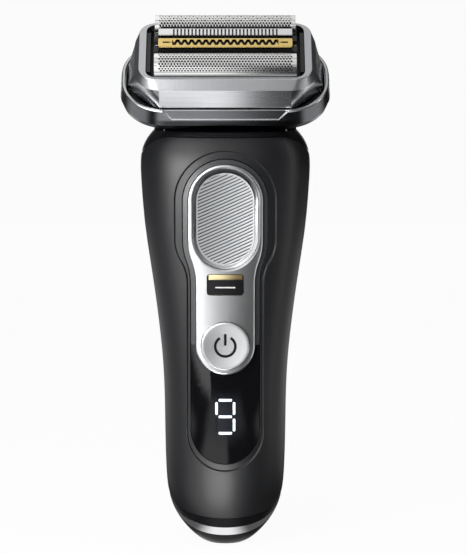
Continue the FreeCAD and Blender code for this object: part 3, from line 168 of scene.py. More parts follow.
class Finish:
    """One material: a Principled shader and short calls that add nodes behind it."""

    def __init__(self, name, **sockets):
        self.material = bpy.data.materials.new(name)
        self.material.use_nodes = True
        self.tree = self.material.node_tree
        self.shader = self.tree.nodes["Principled BSDF"]
        for socket, value in sockets.items():
            self.set(socket.replace("_", " "), value)

    def node(self, kind, settings=None, values=None, output=0):
        """Adds a node, gives it its settings, then its values or links, and returns one output."""
        node = self.tree.nodes.new(kind)
        for name, value in (settings or {}).items():
            setattr(node, name, value)
        for key, value in (values or {}).items():
            if isinstance(value, Value):
                self.tree.links.new(value.socket, node.inputs[key])
            else:
                node.inputs[key].default_value = value
        return Value(self, node.outputs[output]) if len(node.outputs) else None

    def set(self, socket, value):
        """Gives the Principled shader's socket a link or a number."""
        if isinstance(value, Value):
            self.tree.links.new(value.socket, self.shader.inputs[socket])
        else:
            self.shader.inputs[socket].default_value = value

    def place(self, scale=(1, 1, 1), turn=(0, 0, 0), shift=(0, 0, 0)):
        """Object coordinates, scaled, turned and then shifted."""
        place = self.node("ShaderNodeTexCoord", output="Object")
        return self.node("ShaderNodeMapping", {"vector_type": "POINT"},
                         {"Vector": place, "Location": shift, "Rotation": turn, "Scale": scale})

    def head_place(self, scale=(1, 1, 1)):
        """Coordinates in the head's own upright axes."""
        turned = self.place(turn=(-HEAD_LEAN, 0, 0), shift=TO_HEAD.translation)
        return self.node("ShaderNodeVectorMath", {"operation": "MULTIPLY"}, {0: turned, 1: scale})

    def split(self, place):
        """The three numbers of a place."""
        axes = self.node("ShaderNodeSeparateXYZ", values={0: place}).socket.node.outputs
        return [Value(self, axis) for axis in axes]

    def noise(self, place, scale, detail=2.0, roughness=0.5):
        return self.node("ShaderNodeTexNoise", {}, {"Vector": place, "Scale": scale, "Detail": detail,
                                                    "Roughness": roughness})

    def grain(self, scale=FINE_GRAIN):
        """Fine, even specks."""
        return self.noise(self.place(), scale)

    def cells(self, place, scale):
        return self.node("ShaderNodeTexVoronoi", {}, {"Vector": place, "Scale": scale})

    def blend(self, factor, first, second):
        """A colour between two colours."""
        values = {0: factor, 6: first, 7: second}
        for key in (6, 7):
            if isinstance(values[key], tuple):
                values[key] = (*values[key], 1.0)
        return self.node("ShaderNodeMix", {"data_type": "RGBA"}, values, output=2)

    def bump(self, height, depth):
        """Relief: depth is how many metres a height of one stands for."""
        self.set("Normal", self.node("ShaderNodeBump", {}, {"Height": height, "Strength": 1.0,
                                                            "Distance": depth}))


def shade(colour, factor):
    return tuple(channel * factor for channel in colour)


# ---------------------------------------------------------------- finishes
def moulded(name, colour, roughness, grain=FINE_GRAIN, depth=0.004, level=0.5):
    """Fine spark-eroded plastic: slight cloudiness, pinpoint grain as deep as depth, in millimetres."""
    f = Finish(name, Specular_IOR_Level=level)
    cloud = f.noise(f.place(), 90, 3.0)
    fine = f.grain(grain)
    f.set("Base Color", f.blend(cloud * 0.6 + fine * 0.4, shade(colour, 0.82), shade(colour, 1.2)))
    f.set("Roughness", roughness - SPREAD + cloud * SPREAD + fine * SPREAD)
    f.bump(fine, depth * MM)
    return f.material


def metal(name, colour, roughness, depth, grain=FINE_GRAIN):
    """Bead-blasted or plated metal with a fine, even grain."""
    f = Finish(name, Metallic=1.0)
    cloud = f.noise(f.place(), 120)
    fine = f.grain(grain)
    f.set("Base Color", f.blend(fine * 0.7 + cloud * 0.3, shade(colour, 0.93), shade(colour, 1.05)))
    f.set("Roughness", roughness - SPREAD + cloud * SPREAD + fine * SPREAD)
    f.bump(fine, depth * MM)
    return f.material


# Soft-touch lacquer, gloss foot, inside parts, chips, lock slide, inlaid icon, panel rim, seal, lamp, print.
PLASTICS = {
    "shell_black": dict(colour=(0.0052, 0.0054, 0.0066), roughness=0.4, grain=4600, depth=0.006, level=0.42),
    "cap_black": dict(colour=(0.005, 0.005, 0.006), roughness=0.3, depth=0.002, level=0.12),
    "inner_black": dict(colour=(0.012, 0.012, 0.013), roughness=0.5, grain=3600, level=0.4),
    "chip_black": dict(colour=(0.02, 0.02, 0.021), roughness=0.55, grain=6000),
    "lock_black": dict(colour=(0.006, 0.006, 0.007), roughness=0.22, depth=0.001, level=0.25),
    "icon_black": dict(colour=(0.004, 0.004, 0.005), roughness=0.4, grain=6500, depth=0.002, level=0.15),
    "surround_grey": dict(colour=(0.028, 0.030, 0.033), roughness=0.32, depth=0.002),
    "seal_rubber": dict(colour=(0.014, 0.014, 0.014), roughness=0.75, grain=2600, depth=0.01, level=0.3),
    "lamp_white": dict(colour=(0.7, 0.71, 0.72), roughness=0.45, grain=3000),
    "line_white": dict(colour=(0.62, 0.62, 0.6), roughness=0.45, depth=0.001)}

# Trimmer blades, blades under the foils and combs painted dark as their shade, springs, the foot's band,
# contacts, motor core.
METALS = {
    "blade_steel": dict(colour=(0.4, 0.4, 0.41), roughness=0.3, depth=0.003),
    # Painted shade: blades under the foils and combs get a darkened steel.
    "blade_dark": dict(colour=(0.07, 0.07, 0.072), roughness=0.35, depth=0.003),
    "spring_steel": dict(colour=(0.5, 0.5, 0.51), roughness=0.24, grain=6000, depth=0.001),
    "ring_silver": dict(colour=(0.62, 0.62, 0.63), roughness=0.2, depth=0.001),
    "contact_metal": dict(colour=(0.78, 0.6, 0.3), roughness=0.22, depth=0.001),
    "core_iron": dict(colour=(0.28, 0.28, 0.29), roughness=0.5, grain=2600, depth=0.01)}


def thumb_reach(f):
    """How far a point lies from the thumb rest's upright middle line, and its place about the rest's middle,
    all in millimetres."""
    low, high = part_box("thumb_rest")
    centre = (low + high) / 2
    straight = (high.z - low.z - high.x + low.x) / 2
    x, _, z = f.split(f.place(scale=(1 / MM, 1, 1 / MM), shift=(-centre.x / MM, 0, -centre.z / MM)))
    beyond = (abs(z) - straight / MM).largest(0.0)
    return (x * x + beyond * beyond) ** 0.5, x, z


def satin_silver():
    """Blasted metal panel whose bowl falls away to the thumb rest."""
    f = Finish("satin_silver", Metallic=1.0)
    cloud = f.noise(f.place(), 120)
    fine = f.grain()
    f.set("Base Color", f.blend(fine * 0.7 + cloud * 0.3, (0.65, 0.66, 0.67), (0.74, 0.75, 0.76)))
    f.set("Roughness", 0.26 + fine * 0.04 + cloud * 0.02)
    reach, x, z = thumb_reach(f)
    wide, tall = 10, 15
    steeper = 1 + z.share(tall) * 0.7 + x.share(-wide) * 0.6 - x.share(wide) * 0.55 - z.share(-tall) * 0.3
    bowl_floor, bowl_rim = 9.0, 10.7
    f.bump(reach.ramp(bowl_floor, bowl_rim) * steeper + fine * 0.001, 1.0 * MM)
    return f.material


def ribbed_silver():
    """Hollowed satin metal with painted shade at the foot of its ribs."""
    f = Finish("ribbed_silver", Metallic=1.0)
    reach, x, z = thumb_reach(f)
    slope = math.radians(RIB_SLOPE)
    across = (z * math.cos(slope) - x * math.sin(slope)) / RIB_PITCH
    crest = abs((across + 0.5).math("FRACT") - 0.5) * 2
    ribs_end, wide, tall = 8.7, 9.2, 15.0
    groove_painted_shade = (1 - crest.ramp(0.26, 0.5)) * (reach < ribs_end)
    fine = f.grain()
    metal_tone = f.blend(fine, (0.55, 0.56, 0.57), (0.64, 0.65, 0.66))
    # Painted shade: the base colour goes dark at the foot of each rib.
    f.set("Base Color", f.blend(groove_painted_shade, metal_tone, (0.095, 0.098, 0.102)))
    f.set("Roughness", 0.3 + fine * 0.06)
    hollow = (x / wide) ** 2 + (z / tall) ** 2
    f.bump(hollow + crest * 0.03, 1.1 * MM)
    return f.material


def button_silver():
    """Turned disc: fine rings about the button's middle."""
    f = Finish("button_silver", Metallic=1.0)
    centre = middle("power_button")
    x, _, z = f.split(f.place(shift=(-centre.x, 0, -centre.z)))
    rings = ((x * x + z * z) ** 0.5).ripple(TURNING_PITCH)
    fine = f.grain(4200)
    f.set("Base Color", f.blend(fine, (0.64, 0.65, 0.66), (0.74, 0.75, 0.76)))
    f.set("Roughness", 0.24 + rings * 0.05 + fine * 0.05)
    f.bump(rings * 0.5 + fine * 0.5, 0.0012 * MM)
    return f.material


def ring_dark():
    """Dark chrome with hairlines that run along the rim, with a painted highlight along its top and along
    the tray's lip, and a painted dark reflection on the front below the lip.
    """
    f = Finish("ring_dark", Metallic=1.0)
    along = f.noise(f.head_place((0.03, 0.03, 1.0)), FINE_GRAIN, 3.0, 0.6)
    cloud = f.noise(f.place(), 60)
    low, high = head_box("head_ring")
    x, v, w = f.split(f.head_place())
    rim_low, rim_high = high.z - 0.36 * MM, high.z - 0.24 * MM
    # Painted highlight along the rim's top, fainter towards the sides.
    rim = w.ramp(rim_low, rim_high) * (0.75 - abs(x).ramp(22 * MM, 31 * MM) * 0.4)
    lip_w, lip_half = high.z - 3.21 * MM, 0.24 * MM
    lip_x, end_x, end_rise = 16.75 * MM, 19.4 * MM, 2.8 * MM
    rise = ((abs(x) - lip_x) / (end_x - lip_x)).largest(0.0) * end_rise
    front = 1 - v.ramp(low.y + 1.1 * MM, low.y + 1.3 * MM)
    # Painted highlight along the tray's lip, on the front only.
    lip = (abs(w - rise - lip_w) < lip_half) * (abs(x) < end_x) * front
    # Painted dark reflection on the ring's front below the lip.
    painted_dark_reflection = (1 - w.ramp(lip_w - 1.0 * MM, lip_w)) * (1 - abs(x).ramp(18 * MM, 25 * MM))
    chrome = f.blend(along, (0.11, 0.114, 0.122), (0.20, 0.205, 0.215))
    dark = f.blend(painted_dark_reflection * 0.9, chrome, (0.02, 0.021, 0.023))
    f.set("Base Color", f.blend(rim.largest(lip * 0.6), dark, (0.86, 0.87, 0.88)))
    f.set("Roughness", 0.12 + along * 0.08 + cloud * 0.04 + rim.largest(lip) * 0.2)
    f.bump(along, 0.003 * MM)
    return f.material


def cassette_silver():
    """Brushed casing: up and down on the sloping brow, lengthwise on the faces below it. The brow is
    darkened with painted shade.
    """
    f = Finish("cassette_silver", Metallic=1.0)
    crease = head_box("cassette_frame")[1].z - 3.4 * MM
    height = f.split(f.head_place())[2]
    brow = height.ramp(crease - 0.1 * MM, crease + 0.1 * MM)
    across = f.noise(f.head_place((1.0, 0.02, 0.02)), FINE_GRAIN, 3.0, 0.65)
    along = f.noise(f.head_place((0.02, 1.0, 1.0)), 3800, 3.0, 0.6)
    lines = along + (across - along) * brow
    bare = f.blend(lines, (0.52, 0.53, 0.55), (0.72, 0.73, 0.75))
    # Painted shade: the brow's colour is darkened towards near black.
    f.set("Base Color", f.blend(brow * 0.42, bare, (0.12, 0.122, 0.127)))
    f.set("Roughness", 0.18 + lines * 0.015 + brow * (0.12 + lines * 0.07))
    f.bump(lines * (brow * 0.8 + 0.2), 0.003 * MM)
    return f.material


def foil_steel():
    """Polished steel with a painted dark line of shade where the etched field ends above the plain hem."""
    f = Finish("foil_steel", Metallic=1.0)
    hem_top = head_box("front_foil")[0].z + FOIL_HEM
    w = f.split(f.head_place())[2]
    # Painted shade: a dark line along the top of the plain hem.
    line = (abs(w - hem_top) < 0.13 * MM) * 0.9
    fine = f.grain(6000)
    f.set("Base Color", f.blend(line, f.blend(fine, (0.66, 0.66, 0.65), (0.8, 0.8, 0.79)),
                                (0.03, 0.03, 0.03)))
    f.set("Roughness", 0.19 + fine * 0.015)
    f.bump(fine, 0.0006 * MM)
    return f.material


def slot_shade(f, node):
    """Painted shade mask: one on the top face of a comb, nought on the walls of its slots."""
    top = head_box(node)[1].z
    return f.split(f.head_place())[2].ramp(top - 0.5 * MM, top - 0.3 * MM)


def comb_steel():
    """Polished steel with faint grinding lines across it, and painted shade inside its slots."""
    f = Finish("comb_steel", Metallic=1.0)
    lines = f.noise(f.head_place((1.0, 0.05, 0.05)), 6000)
    steel = f.blend(lines, (0.6, 0.6, 0.6), (0.72, 0.72, 0.72))
    # Painted shade: all below the comb's top face is coloured near black.
    f.set("Base Color", f.blend(slot_shade(f, "direct_comb"), (0.03, 0.03, 0.03), steel))
    f.set("Roughness", 0.16 + lines * 0.08)
    f.bump(lines, 0.0015 * MM)
    return f.material


def gold_trim():
    """Gilded steel, lightly grained, with painted shade inside its slots and below its top face."""
    f = Finish("gold_trim", Metallic=1.0)
    fine = f.grain()
    gilt = f.blend(f.noise(f.place(), 300), (0.60, 0.44, 0.15), (0.70, 0.53, 0.21))
    low, high = head_box("lift_comb")
    x, v, _ = f.split(f.head_place((1 / MM, 1 / MM, 1 / MM)))
    v = v - (low.y + high.y) / 2 / MM
    slant = v * math.tan(math.radians(WAVE_SLOPE))
    rising = abs(((x - slant) / WAVE_PITCH + 0.5).math("FRACT") - 0.5) * WAVE_PITCH
    falling = abs(((x + slant) / WAVE_PITCH).math("FRACT") - 0.5) * WAVE_PITCH
    half_line, half_wave, wave_end = 0.5, 1.3, 16.6
    # Painted shade: a dark zigzag where the comb's slots are.
    zigzag_slot_shade = (rising.smallest(falling) < half_line) * (abs(v) < half_wave) * (abs(x) < wave_end)
    dash_middle, half_dash, half_height = 18.55, 1.0, 0.33
    # Painted shade in the shallow dashes near each end.
    dash_slot_shade = (abs(abs(x) - dash_middle) < half_dash) * (abs(v) < half_height)
    # Painted shade: all below the top face, the zigzag and the dashes go near black.
    shaded = (1 - slot_shade(f, "lift_comb")).largest(zigzag_slot_shade).largest(dash_slot_shade)
    f.set("Base Color", f.blend(shaded, gilt, (0.03, 0.022, 0.008)))
    f.set("Roughness", 0.2 + fine * 0.1)
    f.bump(fine, 0.001 * MM)
    return f.material


def well_gold():
    """Floor of the lock's window: a gilt strip with a black border; the gilt is painted bright on the left
    and shaded on the right.
    """
    f = Finish("well_gold")
    low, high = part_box("lock_slider")
    centre = (low + high) / 2
    x, _, z = f.split(f.place(scale=(1 / MM, 1, 1 / MM), shift=(-centre.x / MM, 0, -high.z / MM)))
    half_strip, strip_top = 5.3, 1.55
    gilt = (abs(x) < half_strip) * (z < strip_top)
    fine = f.grain()
    # Painted light and shade: bright gilt on the left, darker gilt on the right.
    gold_with_painted_shading = f.blend((x / (2 * half_strip) + 0.5).ramp(0.35, 0.95), (0.95, 0.80, 0.45), (0.45, 0.32, 0.14))
    f.set("Base Color", f.blend(gilt, (0.006, 0.006, 0.007), gold_with_painted_shading))
    f.set("Metallic", gilt)
    f.set("Roughness", 0.3 + fine * 0.05)
    return f.material


def coil_copper():
    """Enamelled wire: turns side by side, with painted shade between them."""
    f = Finish("coil_copper", Metallic=1.0)
    turns = f.split(f.head_place())[2].ripple(WINDING_PITCH)
    fine = f.grain(2600)
    # Painted shade: the copper goes dark between the turns.
    f.set("Base Color", f.blend(turns, (0.22, 0.07, 0.03), (0.72, 0.3, 0.13)))
    f.set("Roughness", 0.25 + fine * 0.1)
    f.bump(turns, 0.06 * MM)
    return f.material


def board_green():
    """Solder mask with tracks and plated spots."""
    f = Finish("board_green", Specular_IOR_Level=0.5)
    place = f.place()
    wander = f.noise(place, 160, 1.0)
    track_pitch = 1.6 * MM
    tracks = abs((f.split(place)[0] / track_pitch + wander * 3).math("FRACT") - 0.5) < 0.14
    spots = f.cells(place, 420) < 0.16
    mask = f.blend(tracks, (0.012, 0.075, 0.035), (0.03, 0.15, 0.075))
    f.set("Base Color", f.blend(spots, mask, (0.62, 0.5, 0.26)))
    f.set("Metallic", spots * 0.9)
    f.set("Roughness", 0.3 + wander * 0.1)
    f.bump(tracks * 0.6 + spots * 0.4, 0.03 * MM)
    return f.material


def cell_wrap():
    """Shrink sleeve over the cell."""
    f = Finish("cell_wrap", Specular_IOR_Level=0.5)
    creases = f.noise(f.place(scale=(1, 1, 0.15)), 500, 3.0)
    f.set("Base Color", f.blend(creases, (0.03, 0.07, 0.2), (0.05, 0.12, 0.3)))
    f.set("Roughness", 0.25 + f.grain(900) * 0.1)
    f.bump(creases, 0.02 * MM)
    return f.material


def window_black():
    """Gloss black window with a painted glow round the numeral."""
    f = Finish("window_black", Specular_IOR_Level=0.33, Emission_Strength=1.0)
    centre = middle("display_digit")
    x, _, z = f.split(f.place(shift=(-centre.x, 0, -centre.z)))
    wide, tall = 5.2 * MM, 7.6 * MM
    painted_glow = 1 - (((x / wide) ** 2 + (z / tall) ** 2) ** 0.5).ramp(0.35, 1.45)
    fine = f.grain(3000)
    f.set("Base Color", f.blend(fine, (0.0025, 0.0025, 0.003), (0.004, 0.004, 0.005)))
    # Painted glow: the window itself emits faint blue light round the numeral.
    f.set("Emission Color", f.blend(painted_glow, (0.0, 0.0, 0.0), (0.004, 0.0055, 0.011)))
    f.set("Roughness", 0.035 + fine * 0.02)
    return f.material


def digit_light():
    """Lit numeral: every bar glows but the lower left one."""
    f = Finish("digit_light", Roughness=0.3, Specular_IOR_Level=0.1, Emission_Strength=0.92)
    low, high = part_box("display_digit")
    centre = (low + high) / 2
    x, _, z = f.split(f.place(shift=(-centre.x, 0, -centre.z)))
    left, foot = low.x - centre.x + 1.0 * MM, low.z - centre.z + 0.7 * MM
    off = (x < left) * (z < -0.3 * MM) * (z > foot)
    fine = f.noise(f.place(), 900, 1.0)
    lit = f.blend(fine, (0.72, 0.82, 0.96), (0.9, 0.96, 1.0))
    f.set("Base Color", f.blend(off, (0.5, 0.55, 0.6), (0.006, 0.006, 0.008)))
    f.set("Emission Color", f.blend(off, lit, (0.002, 0.0025, 0.005)))
    return f.material


FINISHES = {name: moulded(name, **values) for name, values in PLASTICS.items()}
FINISHES.update({name: metal(name, **values) for name, values in METALS.items()})
FINISHES.update({make.__name__: make() for make in (
    satin_silver, ribbed_silver, button_silver, ring_dark, cassette_silver, foil_steel, comb_steel,
    gold_trim, well_gold, coil_copper, board_green, cell_wrap, window_black, digit_light)})


def slot_of(node):
    return frame["nodes"][node].data.materials[0].name.split(".")[0]


SLOTS = {name: slot_of(name) for name in frame["nodes"]}
# The cutters and trimmer blades take the steel painted dark as shade.
OWN_FINISH = {"front_cutter": "blade_dark", "rear_cutter": "blade_dark", "lift_blade": "blade_dark",
              "direct_blade": "blade_dark", "lock_well": "well_gold"}
for name, part in frame["nodes"].items():
    for material_slot in part.material_slots:
        material_slot.material = FINISHES[OWN_FINISH.get(name, SLOTS[name])]


# ---------------------------------------------------------------- modelling helpers
def start_clean():
    """Leaves edit mode and lets go of everything."""
    if bpy.context.object and bpy.context.object.mode != "OBJECT":
        bpy.ops.object.mode_set(mode="OBJECT")
    bpy.ops.object.select_all(action="DESELECT")


def take_up(piece):
    """Makes a piece the only one in hand."""
    start_clean()
    bpy.context.view_layer.objects.active = piece
    piece.select_set(True)


def edit(piece, mode="VERT"):
    """Opens a piece for editing, with nothing selected."""
    take_up(piece)
    bpy.ops.object.mode_set(mode="EDIT")
    bpy.ops.mesh.select_mode(type=mode)
    bpy.ops.mesh.select_all(action="DESELECT")


def done_editing():
    bpy.ops.object.mode_set(mode="OBJECT")


def pick(piece, mode, chosen):
    """Opens a piece for editing, with the chosen vertices, edges or faces selected."""
    edit(piece, mode)
    done_editing()
    mesh = piece.data
    for element in {"VERT": mesh.vertices, "EDGE": mesh.edges, "FACE": mesh.polygons}[mode]:
        element.select = chosen(element)
    bpy.ops.object.mode_set(mode="EDIT")


def new_piece(name):
    """Names the piece that was just added."""
    piece = bpy.context.object
    piece.name = name
    piece.data.name = name
    return piece


def add_modifier(piece, kind, **settings):
    """Adds a modifier and applies it at once."""
    take_up(piece)
    modifier = piece.modifiers.new(kind.lower(), kind)
    for name, value in settings.items():
        setattr(modifier, name, value)
    bpy.ops.object.modifier_apply(modifier=modifier.name)


def smooth(piece, angle=35.0):
    """Smooth shading, but for edges sharper than the angle."""
    take_up(piece)
    bpy.ops.object.shade_smooth_by_angle(angle=math.radians(angle))


def dress(piece, body, slot, nodes=(), finish=None):
    """Finish and body of a finished piece, whose finish is that of its record slot unless another is named.
    """
    piece.data.materials.clear()
    piece.data.materials.append(FINISHES[finish or slot])
    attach(piece, body)
    if nodes:
        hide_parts(*nodes)


def body_of(node):
    return frame["nodes"][node].parent.name.removeprefix("body:")


# ---------------------------------------------------------------- etched foils
def etched_sheet(name, length, width, keep_plain):
    """Flat sheet about the origin with a staggered lattice of six-sided holes, except where keep_plain
    says."""
    row = HOLE_PITCH * math.sqrt(3) / 2
    columns, rows = round(length / HOLE_PITCH), round(width / row)
    start_clean()
    bpy.ops.mesh.primitive_grid_add(x_subdivisions=columns, y_subdivisions=rows, size=1)
    sheet = new_piece(name)
    step = length / columns
    for v in sheet.data.vertices:
        line = round((v.co.y + 0.5) * rows)
        at_end = abs(v.co.x) > 0.499
        v.co.x = v.co.x * length + (0 if at_end else (step / 4 if line % 2 else -step / 4))
        v.co.y *= width
    edit(sheet)
    bpy.ops.mesh.select_all(action="SELECT")
    bpy.ops.mesh.quads_convert_to_tris(quad_method="SHORTEST_DIAGONAL", ngon_method="BEAUTY")
    done_editing()
    holes = [v.co.copy() for v in sheet.data.vertices if not keep_plain(v.co.x, v.co.y)]
    centres = KDTree(len(holes))
    for index, point in enumerate(holes):
        centres.insert(point, index)
    centres.balance()
    pick(sheet, "VERT", lambda v: not keep_plain(v.co.x, v.co.y))
    bpy.ops.mesh.bevel(affect="VERTICES", offset=HOLE_SIZE, segments=1)
    pick(sheet, "FACE", lambda face: centres.find(face.center)[2] < HOLE_SIZE * 0.4)
    bpy.ops.mesh.delete(type="FACE")
    done_editing()
    return sheet


def arch(piece, radius):
    """Wraps a flat sheet over an arch of this radius, whose crest is at the origin."""
    quarter = radius * math.pi / 2
    for v in piece.data.vertices:
        away, side = abs(v.co.y), math.copysign(1, v.co.y)
        turn = min(away, quarter) / radius
        v.co.y = side * radius * math.sin(turn)
        v.co.z += radius * (math.cos(turn) - 1) - max(0.0, away - quarter)


def etched_foil(side):
    """Arched steel foil: two fields of holes with a plain line between them and plain ends and hems."""
    node = side + "_foil"
    low, high = head_box(node)
    radius = (high.y - low.y) / 2
    leg = high.z - radius - low.z
    length, width = high.x - low.x, math.pi * radius + 2 * leg
    end, hem, line = 1.3 * MM, FOIL_HEM + 0.25 * MM, -0.9 * MM
    sunk, thickness = 0.01 * MM, 0.07 * MM

    def keep_plain(x, y):
        return abs(x) > length / 2 - end or abs(y) > width / 2 - hem or abs(y - line) < HOLE_PITCH * 0.3

    sheet = etched_sheet(side + "_etched_foil", length, width, keep_plain)
    arch(sheet, radius - sunk)
    sheet.data.transform(TO_WORLD @ Matrix.Translation((0, (low.y + high.y) / 2, high.z - sunk)))
    add_modifier(sheet, "SOLIDIFY", thickness=thickness, offset=-1)
    smooth(sheet, 40)
    dress(sheet, body_of(node), SLOTS[node], [node])


def lock_mark():
    """Thin printed line on the lock slider."""
    low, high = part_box("lock_slider")
    centre = (low + high) / 2
    length, thickness, height, sunk, corner = 6.4 * MM, 0.06 * MM, 0.4 * MM, 0.02 * MM, 0.18 * MM
    start_clean()
    bpy.ops.mesh.primitive_cube_add(size=1, location=(centre.x, low.y + sunk, centre.z),
                                    scale=(length, thickness, height))
    mark = new_piece("lock_mark")
    bpy.ops.object.transform_apply(location=True, rotation=True, scale=True)

    def runs_inward(edge):
        a, b = (mark.data.vertices[k].co for k in edge.vertices)
        return abs(a.y - b.y) > 0.01 * MM

    pick(mark, "EDGE", runs_inward)
    bpy.ops.mesh.bevel(offset=corner, segments=4)
    done_editing()
    smooth(mark)
    dress(mark, "lock", "lamp_white", finish="line_white")


etched_foil("front")
etched_foil("rear")
lock_mark()


# ---------------------------------------------------------------- studio
class Studio(Finish):
    """Node calls for the room: the same arithmetic, on a tree that has no Principled shader."""

    def __init__(self, tree):
        self.tree = tree

    def seen(self):
        """Two values: one for rays from the camera, and one for those that metal and glass send on."""
        path = self.node("ShaderNodeLightPath").socket.node.outputs
        straight, glossy, through = (Value(self, path["Is %s Ray" % kind])
                                     for kind in ("Camera", "Glossy", "Transmission"))
        return straight, (glossy + through).smallest(1.0)


def studio_material(name, build):
    """Material whose surface is whatever shader the given function returns."""
    material = bpy.data.materials.new(name)
    material.use_nodes = True
    material.node_tree.nodes.clear()
    f = Studio(material.node_tree)
    f.node("ShaderNodeOutputMaterial", {}, {"Surface": build(f)})
    return material


def studio_white(f):
    """Pale floor and backdrop: mostly its own white to the camera, and the rest lit, so that it keeps
    shadows."""
    straight, sent = f.seen()
    glow = f.node("ShaderNodeEmission", {}, {"Strength": 1.0})
    plain = f.node("ShaderNodeBsdfDiffuse", {}, {"Color": (0.92, 0.92, 0.92, 1.0)})
    return f.node("ShaderNodeMixShader", {}, {0: (straight + sent) * 0.95, 1: plain, 2: glow})


def floor_glow(f):
    """Light that metal sees coming off the floor: bright left of the middle, far out on both sides and
    behind, dark right of the middle.  Only a small patch of it reaches the foot."""
    x, y, _ = f.split(f.place())
    in_front = 0 - y
    left = (1 - x.ramp(-0.001, 0.013)) * (1 - (0 - x).ramp(0.055, 0.085)) * 1.4
    aside = abs(x).ramp(0.10, 0.15) * 0.9
    behind = y.ramp(0.02, 0.08) * abs(x).ramp(0.03, 0.06) * 0.3
    near = left.largest(aside).largest(behind) + 0.04
    far = (0.95 - x.ramp(-0.03, 0.04) * 0.45) * (1 - abs(x).ramp(0.06, 0.10)) + 0.04
    open_floor = near + (far - near) * in_front.ramp(0.16, 0.22)
    spot = (1 - abs(x + 0.0015).ramp(0.003, 0.013)) * 1.25 + (1 - abs(x).ramp(0.02, 0.05)) * 0.1 + 0.03
    at_foot = y.ramp(-0.034, -0.022) * (1 - abs(x).ramp(0.05, 0.08))
    inside = (1 - abs(x).ramp(0.25, 0.45)) * y.ramp(-0.33, -0.27) * (1 - y.ramp(0.3, 0.5))
    return inside, open_floor + (spot - open_floor) * at_foot


def panel_glow(f):
    """Light that the upright panel sees low in front of it, fading from left to right."""
    x, _, z = f.split(f.place())
    inside = (1 - abs(x).ramp(0.11, 0.15)) * z.ramp(0.028, 0.038) * (1 - z.ramp(0.095, 0.11))
    return inside, (1 - x.ramp(-0.05, 0.09)) * 1.35 + 0.04


def ceiling_glow(f):
    """Light that metal sees from above, a little weaker on the right."""
    x, y, _ = f.split(f.place())
    inside = (1 - abs(x).ramp(0.25, 0.45)) * y.ramp(-0.24, -0.18) * (1 - y.ramp(0.3, 0.45))
    return inside, 1.25 - x.ramp(-0.05, 0.07) * 0.45


def card_shader(glow):
    """Shader of a card that glows as the given function says and is clear round its rim."""
    def build(f):
        inside, lit = glow(f)
        white = f.node("ShaderNodeVectorMath", {"operation": "SCALE"}, {0: (1, 1, 1), "Scale": lit})
        light = f.node("ShaderNodeEmission", {}, {"Color": white})
        clear = f.node("ShaderNodeBsdfTransparent")
        return f.node("ShaderNodeMixShader", {}, {0: inside, 1: clear, 2: light})
    return build


def studio_floor():
    """Sweep: floor that turns up into a backdrop.  Metal sees the cards and the world in its place."""
    start_clean()
    bpy.ops.mesh.primitive_plane_add(size=1)
    floor = new_piece("studio_sweep")
    half, near, back, wall, bend = 1.6, -1.6, 1.4, 1.6, 0.4
    for v, (x, y) in zip(floor.data.vertices, ((-half, near), (half, near), (-half, back), (half, back))):
        v.co = (x, y, 0)
    pick(floor, "EDGE", lambda edge: all(floor.data.vertices[k].co.y > back - 0.01 for k in edge.vertices))
    bpy.ops.mesh.spin(steps=12, angle=math.radians(-90), center=(0, back, bend), axis=(1, 0, 0))
    bpy.ops.mesh.extrude_region_move(TRANSFORM_OT_translate={"value": (0, 0, wall)})
    done_editing()
    smooth(floor, 60)
    floor.data.materials.append(studio_material("studio_white", studio_white))
    floor.visible_glossy = False
    floor.visible_shadow = False


def studio_card(name, centre, width, depth, glow, upright=False):
    """Card, level or upright, that only mirror-like surfaces see."""
    start_clean()
    turn = (math.radians(90), 0, 0) if upright else (0, 0, 0)
    bpy.ops.mesh.primitive_plane_add(size=1, location=centre, rotation=turn, scale=(width, depth, 1))
    card = new_piece(name)
    bpy.ops.object.transform_apply(location=True, rotation=True, scale=True)
    card.data.materials.append(studio_material(name, card_shader(glow)))
    for seen_by in ("visible_camera", "visible_diffuse", "visible_shadow", "visible_transmission"):
        setattr(card, seen_by, False)


def lamp(name, place, facing, width, height, radiance):
    """Rectangular lamp of a plain brightness, unseen by the camera."""
    data = bpy.data.lights.new(name, "AREA")
    data.shape = "RECTANGLE"
    data.size, data.size_y = width, height
    data.energy = radiance * math.pi * width * height
    light = bpy.data.objects.new(name, data)
    bpy.context.collection.objects.link(light)
    light.location = place
    light.rotation_euler = (-Vector(facing)).to_track_quat("Z", "Y").to_euler()
    light.visible_camera = False
    return light


def softbox(name, azimuth, reach, low, high, width, radiance):
    """Upright lamp that faces the shaver.  Azimuth 0 is in front of it and 90 to its left side."""
    around = math.radians(azimuth)
    away = Vector((-math.sin(around), -math.cos(around), 0))
    return lamp(name, away * reach + Vector((0, 0, (low + high) / 2)), -away, width, high - low, radiance)


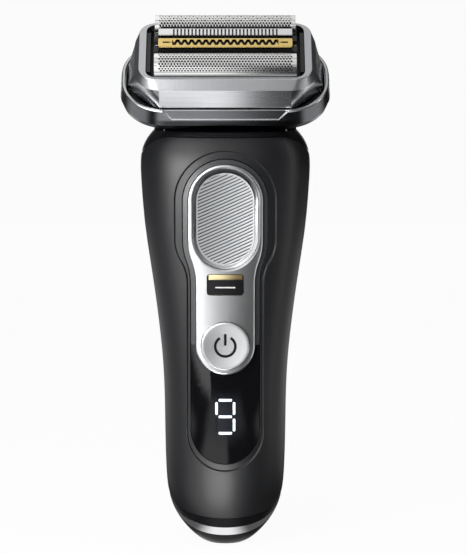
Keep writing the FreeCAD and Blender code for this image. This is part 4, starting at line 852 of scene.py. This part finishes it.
def studio_world():
    """White behind the shaver; a dim room in front of it, dimmest on the right."""
    world = bpy.data.worlds.new("studio_world")
    bpy.context.scene.world = world
    world.use_nodes = True
    f = Studio(world.node_tree)
    x, y, z = f.split(f.node("ShaderNodeTexCoord", output="Generated"))
    behind = y.ramp(0.93, 0.985)
    room = (1 - x.ramp(-0.8, 0.3)) * 0.05 + z.ramp(0.2, 0.9) * 0.1 + 0.02
    straight, sent = f.seen()
    soft = behind * 0.25 + 0.2
    mirrored = room + behind * (0.9 - room)
    lit = world.node_tree.nodes["Background"]
    lit.inputs["Color"].default_value = (1, 1, 1, 1)
    strength = straight + sent * mirrored + (1 - straight - sent) * soft
    world.node_tree.links.new(strength.socket, lit.inputs["Strength"])


def camera():
    """Long lens, a little above the shaver's middle."""
    target, distance, rise = Vector((0, 0.0028, 0.085)), 0.8, math.radians(8)
    back = Vector((0, -math.cos(rise), math.sin(rise)))
    data = bpy.data.cameras.new("camera")
    data.sensor_width = 36
    data.lens = 160.8
    data.shift_x, data.shift_y = 0.0139, 0.0061
    lens = bpy.data.objects.new("camera", data)
    bpy.context.collection.objects.link(lens)
    lens.location = target + back * distance
    lens.rotation_euler = back.to_track_quat("Z", "Y").to_euler()
    bpy.context.scene.camera = lens


studio_floor()
studio_card("floor_card", centre=(0, 0.065, 0.0005), width=0.9, depth=0.87, glow=floor_glow)
studio_card("ceiling_card", centre=(0, 0.1, 0.5), width=0.9, depth=0.7, glow=ceiling_glow)
studio_card("panel_card", centre=(0, -0.3, 0.07), width=0.32, depth=0.09, glow=panel_glow, upright=True)
studio_world()
softbox("key", azimuth=36, reach=0.6, low=-0.25, high=0.75, width=0.48, radiance=2.8)
softbox("right_strip", azimuth=-75, reach=0.6, low=-0.2, high=0.6, width=0.12, radiance=2.4)
softbox("front_high", azimuth=4, reach=0.6, low=0.28, high=0.95, width=0.5, radiance=0.8)
softbox("rear", azimuth=180, reach=0.9, low=0.05, high=0.7, width=0.4, radiance=1.0)
foil_light = lamp("foil_light", (0, -0.16, 0.152), facing=(0, 1, 0), width=0.12, height=0.05, radiance=0.8)
foil_light.visible_diffuse = False
foot_light = lamp("foot_light", (-0.01, -0.076, 0.003), facing=(0, 0.94, 0.34), width=0.034, height=0.012,
                  radiance=5.5)
foot_light.visible_diffuse = False
foot_light.data.spread = math.radians(70)
lamp("shoulder_light", (-0.073, -0.115, 0.104), facing=(0.5, 0.85, 0.15), width=0.06, height=0.04,
     radiance=15.0)
overhead = lamp("overhead", (0, -0.03, 0.8), facing=(0, 0, -1), width=0.5, height=0.3, radiance=2.2)
overhead.visible_glossy = False
camera()
bpy.context.scene.view_settings.view_transform = "Standard"
